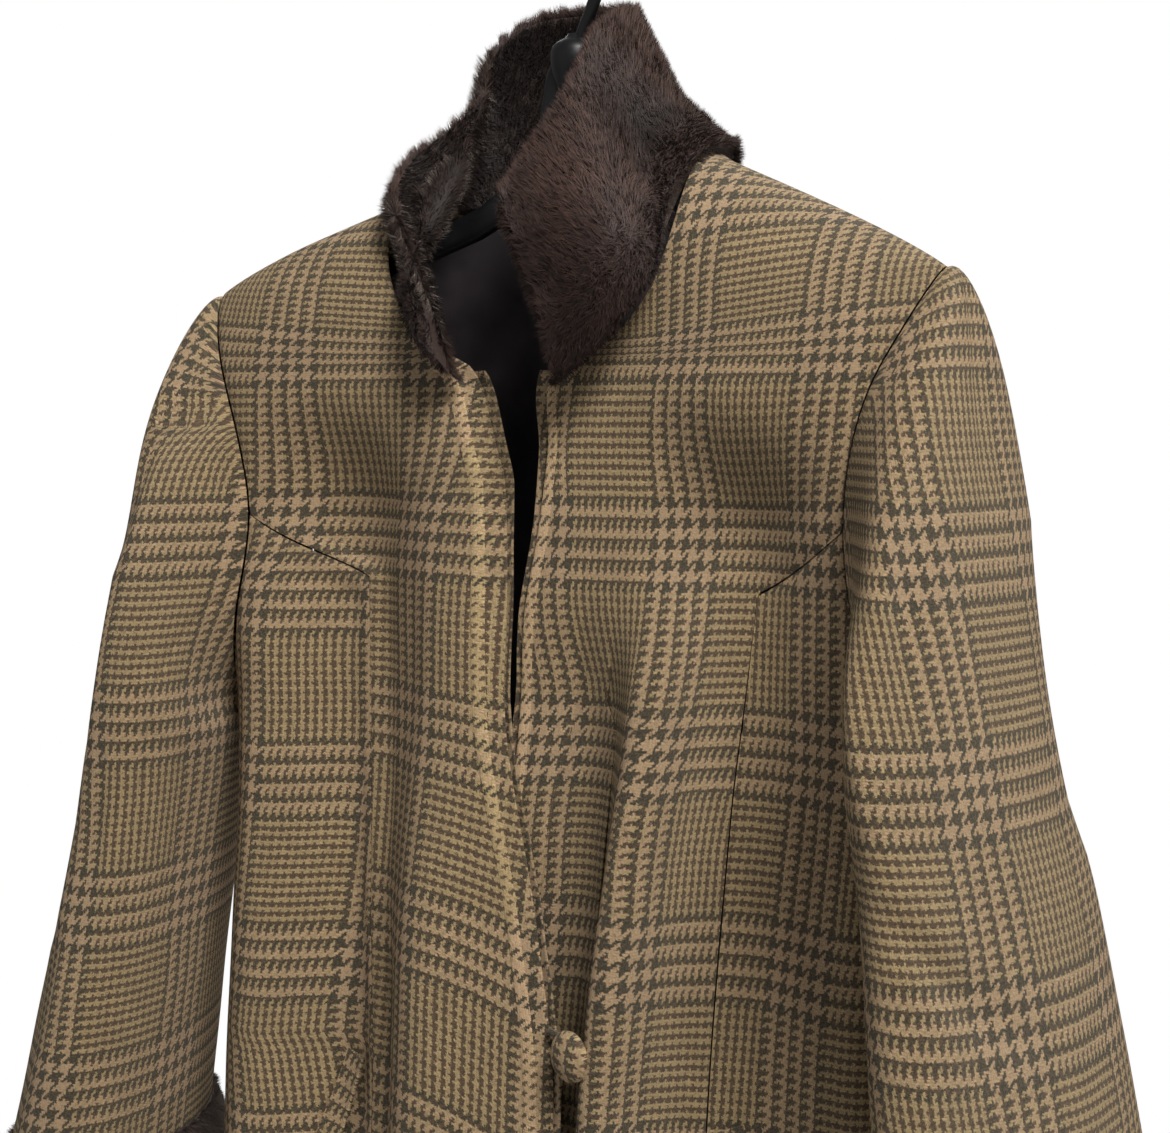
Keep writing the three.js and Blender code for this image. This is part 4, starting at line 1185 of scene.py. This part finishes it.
# ------------------------------------------------------------------ pieces
class COAT_OT_stage(bpy.types.Operator):
    """Camera, soft studio light, pale surroundings and the floor"""

    bl_idname = "coat.stage"
    bl_label = "Stage"
    aim = Vector((0.009, 0.0, -0.329))
    away = 0.993
    azimuth = 30.0
    elevation = 4.35
    lens = 59.1
    floor_z = -1.45
    floor_half = 1.3

    def execute(self, context):
        scene = context.scene
        turn, rise = math.radians(self.azimuth), math.radians(self.elevation)
        out = Vector((math.sin(turn) * math.cos(rise), -math.cos(turn) * math.cos(rise), math.sin(rise)))
        camera = bpy.data.objects.new("Camera", bpy.data.cameras.new("Camera"))
        camera.data.lens = self.lens
        camera.data.sensor_width = 36
        camera.location = self.aim + out * self.away
        camera.rotation_euler = (-out).to_track_quat("-Z", "Y").to_euler()
        scene.collection.objects.link(camera)
        scene.camera = camera
        self.light(context, "Key", (1.4, -1.1, 1.75), 0.8, 78, (1.0, 0.985, 0.96))
        self.light(context, "Fill", (-1.2, -2.0, 0.4), 1.8, 2.5, (0.97, 0.985, 1.0))
        self.light(context, "Back", (-0.9, 2.0, 0.9), 1.6, 22, (1.0, 1.0, 1.0))
        scene.world = self.surroundings()
        scene.view_settings.view_transform = "Standard"
        self.floor()
        return {"FINISHED"}

    def surroundings(self):
        """White all round, which lights the coat less than it shows."""
        world = bpy.data.worlds.new("Studio")
        world.use_nodes = True
        nodes, links = world.node_tree.nodes, world.node_tree.links
        background = nodes["Background"]
        background.inputs["Color"].default_value = (1.0, 1.0, 1.0, 1.0)
        seen = nodes.new("ShaderNodeLightPath").outputs["Is Camera Ray"]
        strength = nodes.new("ShaderNodeMapRange")
        strength.inputs["To Min"].default_value = 0.22
        strength.inputs["To Max"].default_value = 1.0
        links.new(seen, strength.inputs["Value"])
        links.new(strength.outputs[0], background.inputs["Strength"])
        return world

    def light(self, context, name, place, size, power, colour):
        data = bpy.data.lights.new(name, "AREA")
        data.size = size
        data.energy = power
        data.color = colour
        lamp = bpy.data.objects.new(name, data)
        lamp.location = self.aim + Vector(place)
        lamp.rotation_euler = (-Vector(place)).to_track_quat("-Z", "Y").to_euler()
        context.scene.collection.objects.link(lamp)

    def floor(self):
        """A floor whose corners are rounded."""
        turns = np.radians(np.arange(0, 360, 5))
        reach = self.floor_half / MM
        wide = np.sign(np.cos(turns)) * np.abs(np.cos(turns)) ** 0.3
        deep = np.sign(np.sin(turns)) * np.abs(np.sin(turns)) ** 0.3
        slab = ((0.02, -0.012), (1, -0.012), (1, 0), (0.02, 0))
        rings = [points(wide * reach * k, deep * reach * k, (self.floor_z + up) / MM) for k, up in slab]
        floor = new_object("floor", np.concatenate(rings), ring_faces(len(rings), len(turns)))
        floor.data.materials.append(finish_named("Pale Floor", pale_floor))
        return floor


class COAT_OT_back(bpy.types.Operator):
    """The back, one panel from side seam to side seam"""

    bl_idname = "coat.back"
    bl_label = "Back"

    def execute(self, context):
        f, w = np.meshgrid(
            spread_out(-1 + EDGE, 1 - EDGE, 108, 0.02), spread_out(SEAM_ROW, ROW_END, 215, 0.06),
        )
        plain = back_point(f, w)
        grid = creased(plain, False, BACK_CREASES, plain[..., 0], 1.3)
        uv = check_places(plain, from_middle(plain), GRAIN["back"], False)
        edges = SEWN_TO_HEM
        panel = cloth_panel("back_cloth", grid, False, 0, -CLOTH, edges, uv)
        fit_to_coat(panel, finish_named("Checked Tweed", checked_tweed), "tweed", "back")
        return {"FINISHED"}


class COAT_OT_lining(bpy.types.Operator):
    """The smooth lining inside the back"""

    bl_idname = "coat.lining"
    bl_label = "Back Lining"

    def execute(self, context):
        edge = 1 - 8 * EDGE
        f, w = np.meshgrid(spread_out(-edge, edge, 60, 0.02), spread_out(0.62, ROW_END - 0.03, 90, 0.06))
        plain = back_point(f, w)
        x, z = plain[..., 0], plain[..., 2]
        ripples = 0.7 * np.sin(x / 9 + 2 * np.sin(z / 60)) * np.sin(z / 47)
        inside = -CLOTH - 1.6
        grid = plain + grid_normals(plain, False) * (np.abs(ripples) * -1)[..., None]
        uv = check_places(plain, from_middle(plain), GRAIN["back"], False)
        edges = ALL_TURNED
        panel = cloth_panel("back_lining", grid, False, inside, inside - LINING, edges, uv)
        fit_to_coat(panel, finish_named("Satin Lining", satin_lining), "lining", "lining_back")
        return {"FINISHED"}


class COAT_OT_fronts(bpy.types.Operator):
    """The two fronts and their side fronts, to the armholes and side seams"""

    bl_idname = "coat.fronts"
    bl_label = "Fronts"

    def execute(self, context):
        for side in SIDES:
            self.front(side)
            self.side_front(side)
        return {"FINISHED"}

    def edge_sag(self, side, grid):
        """How far the rows of the right front sink towards its edge."""
        if side is LEFT:
            return 0.0
        out, z = -grid[..., 0], grid[..., 2]
        return 23 * smooth((48 - out) / 75) * smooth((-270 - z) / 360)

    def panel(self, name, side, grid, edges, seed, highlight_strip=None):
        flip = side is LEFT
        out = side.sign * grid[..., 0]
        across = from_grain(side, grid, name)
        uv = check_places(grid, across, GRAIN[name], flip, self.edge_sag(side, grid))
        shaped = creased(grid, flip, FRONT_CREASES[side.name], out, seed)
        if highlight_strip is not None:
            lift = edge_roll(side, arc_lengths(grid, 1), grid[..., 2])
            shaped = shaped + grid_normals(grid, flip) * lift[..., None]
        panel = cloth_panel(f"{name}_cloth", shaped, flip, 0, -CLOTH, edges, uv, highlight_strip)
        fit_to_coat(panel, finish_named("Checked Tweed", checked_tweed), "tweed", name)
        return panel

    def front(self, side):
        columns = np.unique(np.concatenate([spread_out(0, 1, 34, 0.03), np.linspace(0.02, 0.18, 12)]))
        u, w = np.meshgrid(columns, spread_out(SEAM_ROW, ROW_END, 240, 0.06))
        grid = front_surface(side)(u, w)
        edges = {"start": "turned", "end": "seam", "top": "seam", "bottom": "turned"}
        centre, half = EDGE_STRIP[side.name]
        highlight_strip = (arc_lengths(grid, 1) - centre) / half
        highlight_strip = np.where(grid[..., 2] < FRONT_NECK_Z, highlight_strip, 9.0)
        panel = self.panel(f"front_{side.name}", side, grid, edges, 2.2 + side.sign, highlight_strip)

    def side_front(self, side):
        u, v = np.meshgrid(spread_out(0, 1, 32, 0.04), spread_out(0, 1, 195, 0.005))
        grid = side_front_surface(side)(u, v)
        edges = SEWN_TO_HEM
        panel = self.panel(f"side_front_{side.name}", side, grid, edges, 3.9 + side.sign)


class COAT_OT_facings(bpy.types.Operator):
    """The facing inside each front, which rolls a little past its edge"""

    bl_idname = "coat.facings"
    bl_label = "Facings"

    def execute(self, context):
        for side in SIDES:
            first = row_at(front_top(side, 0), FRONT_NECK_Z - 3)
            past = -FACING_ROLL / FRONT_WIDE
            u, w = np.meshgrid(
                spread_out(past, 0.42, 30, 0.012), spread_out(float(first), ROW_END - 0.02, 200, 0.06),
            )
            plain = front_surface(side)(u, w)
            flip = side is LEFT
            roll = smooth(u / past) * 1.6 - CLOTH - SEAM_GAP
            roll = roll + edge_roll(side, np.maximum(u, 0) * FRONT_WIDE, plain[..., 2])
            grid = plain + grid_normals(plain, flip) * roll[..., None]
            cut_with = f"front_{side.name}"
            uv = check_places(grid, from_grain(side, grid, cut_with), GRAIN[cut_with], flip)
            edges = ALL_TURNED
            facing = cloth_panel(f"facing_{side.name}_cloth", grid, flip, 0, -FACING, edges, uv)
            # Painted shade: the facing gets a copy of the tweed at 0.86 of its brightness.
            tweed = finish_named("Facing Tweed", checked_tweed, 0.86)
            fit_to_coat(facing, tweed, "facing_tweed", f"facing_{side.name}")
        return {"FINISHED"}


class COAT_OT_welts(bpy.types.Operator):
    """The slanted pocket welts on the side fronts"""

    bl_idname = "coat.welts"
    bl_label = "Pocket Welts"
    lift = 0.4

    def execute(self, context):
        p = POCKET
        run = np.array([p["slant"], p["end_z"] - p["top_z"]])
        length = float(np.hypot(*run))
        across = np.array([-run[1], run[0]]) / length
        for side in SIDES:
            u, v = np.meshgrid(spread_out(0, p["width"], 10, 1.5), spread_out(0, 1, 70, 0.012))
            out = POCKET_TOP_OUT[side.name] + v * run[0] + u * across[0]
            z = p["top_z"] + v * run[1] + u * across[1]
            flip = side is LEFT
            grid = front_at(side, out, z)
            stand = self.lift + 1.0 * smooth(1 - u / 3)
            grid = grid + grid_normals(grid, flip) * stand[..., None]
            uv = np.stack([side.sign * u, v * length], -1)
            edges = {"start": "turned", "end": "seam", "top": "turned", "bottom": "turned"}
            welt = cloth_panel(f"pocket_welt_{side.name}_cloth", grid, flip, p["thick"], 0, edges, uv)
            tweed = finish_named("Checked Tweed", checked_tweed)
            fit_to_coat(welt, tweed, "trim_tweed", f"pocket_welt_{side.name}")
        return {"FINISHED"}


class COAT_OT_sleeves(bpy.types.Operator):
    """Two-piece sleeves, each an upper and an under panel"""

    bl_idname = "coat.sleeves"
    bl_label = "Sleeves"

    def execute(self, context):
        half = SEAM_GAP / 2 * SLEEVE_SEAM_TURN
        for side in SIDES:
            self.panel(side, "upper", SEAM_BACK - 360 + half, SEAM_FRONT - half, 76)
            self.panel(side, "under", SEAM_FRONT + half, SEAM_BACK - half, 38)
        return {"FINISHED"}

    def panel(self, side, part, start, end, count):
        rows = np.unique(np.concatenate([spread_out(0, 1, 62, 0.03)[:-4], np.linspace(1, 2, 92)]))
        angle, v = np.meshgrid(spread_out(start, end, count, 3.0), rows)
        plain = sleeve_point(side, angle, v)
        flip = side is RIGHT
        at = np.where(angle > SEAM_BACK, angle - 360, angle)
        grid = creased(plain, flip, SLEEVE_CREASES[side.name], at, 5.1 + side.sign)
        arcs = LevelArcs(lambda a, z: sleeve_at(side, a, z), -140.0, 260.0, CAP_TOP_Z, SLEEVE_END_Z)
        grain = GRAIN[f"sleeve_{side.name}"]
        across = arcs.from_line(at, plain[..., 2], grain[0])
        uv = check_places(plain, across, grain, flip)
        name = f"sleeve_{part}_{side.name}"
        edges = SEWN_TO_HEM
        panel = cloth_panel(f"{name}_cloth", grid, flip, 0, -CLOTH, edges, uv)
        fit_to_coat(panel, finish_named("Checked Tweed", checked_tweed), "tweed", name)


class COAT_OT_collar(bpy.types.Operator):
    """The stand-up fur collar, its hide and its pile"""

    bl_idname = "coat.collar"
    bl_label = "Fur Collar"
    hide_half = 3.6

    # Hollows (lift below 0) and swells of the fur: place round the collar and up it, their reach each
    # way, and how far they lift it.
    forms = table(
        "s h wide tall lift",
        (10.75, 0.30, 0.75, 0.36, -8.5), (12.4, 0.45, 0.9, 0.5, 4.5), (9.3, 0.7, 0.7, 0.3, 2.5),
        (13.4, 0.3, 0.4, 0.4, -1.8), (6.8, 0.4, 0.9, 0.5, -2.2), (3.2, 0.5, 0.6, 0.4, 1.8),
        (1.4, 0.4, 0.6, 0.4, -1.6), (5.1, 0.62, 0.6, 0.3, 2.0),
    )

    def shape(self, s, h):
        """The middle of the hide: the collar's surface with its hollows, seated over the neck seam."""
        middle = collar_point(s, h)
        normals = grid_normals(middle, True)
        lift = 0 * s
        for s0, h0, wide, tall, rise in zip(*self.forms.values()):
            lift = lift + rise * np.exp(-(((s - s0) / wide) ** 2) - ((h - h0) / tall) ** 2)
        lift = lift * smooth(h / 0.3)
        drop = -7.0 * smooth((0.3 - h) / 0.3)
        return middle + normals * lift[..., None] + points(0, 0, drop), lift

    def execute(self, context):
        sizes = context.scene.coat_sizes
        last = len(COLLAR["x"]) - 1
        s, h = np.meshgrid(spread_out(0, last, 190, 0.05), spread_out(0, 1, 30, 0.03))
        middle, lift = self.shape(s, h)
        normals = grid_normals(middle, True)
        edges = ALL_TURNED
        outer = self.hide_half + 9.0 * smooth((0.4 - h) / 0.4)
        hide = cloth_panel("collar_hide", middle, True, outer, -self.hide_half, edges)
        fit_to_coat(hide, finish_named("Fur Hide", sheared_fur, True), "fur", "collar")
        up = unit(np.gradient(middle, axis=0))
        ahead = unit(np.gradient(middle, axis=1))
        length = sizes.pile_length / MM
        gain = 1 + 0.1 * smooth((h - 0.8) / 0.2)
        pile = Pile(11)
        share = sizes.collar_hairs
        # Painted shade and light on the pile: darker in the fur's hollows and lighter on its swells, darker
        # over the collar's front on the wearer's right, and darkest (0.22) on the collar's inner face.
        painted_shadings = np.clip(1.0 + 0.1 * lift, 0.25, 1.4) * lerp(0.28, 1.0, smooth((s - 2.6) / 1.6))
        hang = up * lerp(-1.0, 1.0, smooth(h / 0.4))[..., None]
        for sign, offset, painted_shading in ((1, outer, painted_shadings), (-1, self.hide_half + 0 * s, 0 * s + 0.22)):
            face = middle + normals * (sign * (offset - 0.2))[..., None]
            comb = (hang if sign > 0 else -up) + 0.3 * ahead
            pile.on_patch(face, normals * sign, comb, int(share * 0.4), length, 1.25, gain, painted_shading)
        pile.on_edge(middle[-1], up[-1], normals[-1], int(share * 0.09), length + 1.5, 1.3)
        # Painted shade: the hairs along the collar's base are darkened to 0.6, and those along its two ends,
        # below, to 0.8.
        seam_out = -0.5 * up[0] + 0.9 * normals[0]
        seam = middle[0] + normals[0] * outer[0][:, None]
        pile.on_edge(seam, seam_out, normals[0], int(share * 0.06), length, 0.9, 0.6)
        for end, way in ((0, -1), (-1, 1)):
            line = middle[:, end], way * ahead[:, end], normals[:, end]
            pile.on_edge(*line, int(share * 0.02), length + 1.0, 1.4, 0.8)
        hairs = pile.grow("collar_pile", sizes.hair_width / MM)
        fit_to_coat(hairs, finish_named("Fur Pile", sheared_fur), "fur")
        return {"FINISHED"}


class COAT_OT_cuffs(bpy.types.Operator):
    """The fur cuffs round the sleeve ends, their hide and their pile"""

    bl_idname = "coat.cuffs"
    bl_label = "Fur Cuffs"
    hide_out = 7.6

    def execute(self, context):
        for side in SIDES:
            self.cuff(context, side)
        return {"FINISHED"}

    def cuff(self, context, side):
        sizes = context.scene.coat_sizes
        flip = side is RIGHT
        length = sizes.pile_length / MM
        fall = SLEEVE_END_Z - SLEEVE_TOP_Z
        row = [1 + (z - SLEEVE_TOP_Z) / fall for z in (CUFF_TOP_Z - 3, CUFF_END_Z + 4)]
        turns = np.linspace(0, 360, 121)[:-1]
        angle, v = np.meshgrid(turns, spread_out(row[0], row[1], 30, 0.02))
        sleeve = sleeve_point(side, angle, v)
        normals = grid_normals(sleeve, flip, closed=True)
        down = arc_lengths(sleeve, 0)
        beside = np.minimum(down, down[-1:] - down)
        swell = 1 - np.exp(-((beside / 7) ** 1.4))
        inner = sleeve + normals * CUFF_GAP
        outer = sleeve + normals * (CUFF_GAP + 1.2 + (self.hide_out - 1.2) * swell)[..., None]
        vertices = np.concatenate([outer.reshape(-1, 3), inner.reshape(-1, 3)])
        rows, columns = angle.shape
        hide = new_object(f"cuff_{side.name}_hide", vertices, shell_faces(rows, columns, flip, closed=True))
        fit_to_coat(hide, finish_named("Fur Hide", sheared_fur, True), "fur", f"cuff_{side.name}")

        wrap = np.r_[0:columns, 0]
        outer, normals, beside = outer[:, wrap], normals[:, wrap], beside[:, wrap]
        fall = unit(np.gradient(outer, axis=0))
        around = unit(np.gradient(outer, axis=1))
        pile = Pile(23 + side.sign)
        comb = fall + 0.3 * around
        pile.on_patch(outer, normals, comb, int(sizes.cuff_hairs * 0.88), length, 1.15)
        rim = int(sizes.cuff_hairs * 0.06)
        pile.on_edge(outer[0], -fall[0] * 0.5 + normals[0], normals[0], rim, length * 0.75, 0.8)
        pile.on_edge(outer[-1], fall[-1] + normals[-1] * 0.4, normals[-1], rim, length * 0.8, 0.9)
        hairs = pile.grow(f"cuff_{side.name}_pile", sizes.hair_width / MM)
        fit_to_coat(hairs, finish_named("Fur Pile", sheared_fur), "fur")


class COAT_OT_button(bpy.types.Operator):
    """The covered button on its stem, with the loop that holds it"""

    bl_idname = "coat.button"
    bl_label = "Button and Loop"

    def execute(self, context):
        b = BUTTON
        turn = math.radians(b["turn"])
        facing = np.array([-math.sin(turn), -math.cos(turn), 0.0])
        seat = front_at(LEFT, float(b["out"]), float(b["z"])) + facing * b["clear"]
        sideways = unit(np.cross((0.0, 0.0, 1.0), facing))
        self.dome(seat, facing, sideways)
        self.loop(seat, facing, sideways)
        return {"FINISHED"}

    def dome(self, seat, facing, sideways):
        b = BUTTON
        t = np.linspace(0.04, 1, 18) * HALF_PI
        crown = [(b["radius"] * math.sin(a), b["stem"] + 2 + (b["height"] - 2) * math.cos(a)) for a in t]
        rim = [(b["radius"] - 0.3, b["stem"] + 1.0), (b["radius"] - 1.2, b["stem"] + 0.4)]
        stem = [(b["shank"] + 1, b["stem"] + 0.2), (b["shank"], b["stem"] - 0.8), (b["shank"], 0.0)]
        profile = np.array(crown + rim + stem)
        turns = np.arange(48) / 48 * 2 * math.pi
        ring = np.cos(turns)[:, None] * sideways + np.sin(turns)[:, None] * np.array([0, 0, 1.0])
        rings = [seat + facing * reach + ring * radius for radius, reach in profile]
        uv = np.concatenate([ring @ np.stack([sideways, (0, 0, 1.0)], 1) * radius for radius, _ in profile])
        uv = (uv + (24.0, 66.0)) * MM
        faces = ring_faces(len(rings), 48)
        button = new_object("button_dome", np.concatenate(rings), faces, {"Cloth": uv})
        fit_to_coat(button, finish_named("Checked Tweed", checked_tweed), "button_tweed", "button")

    def loop(self, seat, facing, sideways):
        b = BUTTON
        middle = seat + facing * b["stem"] / 2
        around = b["shank"] + LOOP["radius"] + 0.5
        ends = []
        for z in (b["z"] + LOOP["half"], b["z"] - LOOP["half"]):
            p = front_at(RIGHT, float(along(INNER_EDGE["right"], z, "out")), float(z))
            ends.append(p + np.array([LOOP["radius"] + SEAM_GAP, -0.6, 0]))
        arc = [
            middle + sideways * around * math.cos(a) + np.array([0, 0, around * math.sin(a)])
            for a in np.radians((90, 45, 0, -45, -90))
        ]
        path = through([ends[0], *arc, ends[1]], 60)
        vertices, faces = round_bar(path, LOOP["radius"] * 0.92, 14)
        spin = np.tile(np.arange(14) / 14 * LOOP["radius"] * 2 * math.pi, 60)
        run = np.repeat(np.linspace(0, 44, 60), 14)
        uv = np.stack([spin, run], 1) * MM
        loop = new_object("button_loop_cord", vertices, faces, {"Cloth": uv})
        fit_to_coat(loop, finish_named("Checked Tweed", checked_tweed), "trim_tweed", "button_loop")


class COAT_OT_hanger(bpy.types.Operator):
    """The moulded hanger: arms, hub, ferrule and hook"""

    bl_idname = "coat.hanger"
    bl_label = "Hanger"

    def execute(self, context):
        vertices, faces = merge_parts([self.arms(), self.ferrule(), self.hook()])
        hanger = new_object("hanger_moulding", vertices, faces, keep_angle=40)
        fit_to_coat(hanger, finish_named("Moulded Black", moulded_black), "hanger_plastic", "hanger")
        return {"FINISHED"}

    def arms(self):
        reach = HANGER_ARMS["out"][-1]
        arm = np.linspace(17, reach, 60)
        x = np.concatenate([-arm[::-1], np.linspace(-16, 16, 33), arm])
        top, tall = (np.interp(np.abs(x), HANGER_ARMS["out"], HANGER_ARMS[k]) for k in ("top_z", "tall"))
        turns = (np.arange(24) + 0.5) / 24 * 2 * math.pi
        across = np.sign(np.sin(turns)) * np.abs(np.sin(turns)) ** 0.62 * HANGER_THICK / 2
        rise = np.sign(np.cos(turns)) * np.abs(np.cos(turns)) ** 0.62 / 2
        rings = [
            points(a, middle_y(a) + across, t - h / 2 + rise * h)
            for a, t, h in zip(x, top, tall)
        ]
        return np.concatenate(rings), ring_faces(len(rings), 24)

    def ferrule(self):
        profile = np.array([
            (3.4, -58), (5.4, -60.5), (8.6, -62), (11.2, -64), (12.3, -67), (12.4, -72), (11.6, -77),
            (9.6, -84), (8.2, -94),
        ])
        heights = profile[:, 1]
        return round_bar(points(3.0, 0.0, heights), profile[:, 0], 32)

    def hook(self):
        centre = HOOK["wire"] - HOOK["bend"]
        arc = [
            (HOOK["bend"] * math.cos(a), 0, centre + HOOK["bend"] * math.sin(a))
            for a in np.radians((-22, 10, 45, 80, 115, 150, 180, HOOK["tip"]))
        ]
        path = through([(4, 0, -76), (6, 0, -62), (13, 0, -46), *arc], 110)
        radius = np.full(110, HOOK["wire"])
        radius[-3:] = HOOK["wire"] * np.array([0.94, 0.8, 0.5])
        return round_bar(path, radius, 20)


# ------------------------------------------------------------------ the add-on
STEPS = (
    COAT_OT_stage, COAT_OT_back, COAT_OT_lining, COAT_OT_fronts, COAT_OT_facings, COAT_OT_welts,
    COAT_OT_sleeves, COAT_OT_collar, COAT_OT_cuffs, COAT_OT_button, COAT_OT_hanger,
)


class VIEW3D_PT_coat(bpy.types.Panel):
    """Sizes, colours and pieces of the coat"""

    bl_label = "Fur-Trimmed Coat"
    bl_idname = "VIEW3D_PT_coat"
    bl_space_type = "VIEW_3D"
    bl_region_type = "UI"
    bl_category = "Coat"

    def draw(self, context):
        layout = self.layout
        for group in (context.scene.coat_sizes, context.scene.coat_colours):
            box = layout.box()
            for name in group.__annotations__:
                box.prop(group, name)
        for step in STEPS:
            layout.operator(step.bl_idname)


CLASSES = (CoatSizes, CoatColours, *STEPS, VIEW3D_PT_coat)


def register():
    for cls in CLASSES:
        bpy.utils.register_class(cls)
    bpy.types.Scene.coat_sizes = PointerProperty(type=CoatSizes)
    bpy.types.Scene.coat_colours = PointerProperty(type=CoatColours)


def unregister():
    del bpy.types.Scene.coat_colours
    del bpy.types.Scene.coat_sizes
    for cls in reversed(CLASSES):
        bpy.utils.unregister_class(cls)


def main():
    register()
    for step in STEPS:
        group, name = step.bl_idname.split(".")
        getattr(getattr(bpy.ops, group), name)()


if __name__ == "__main__":
    main()
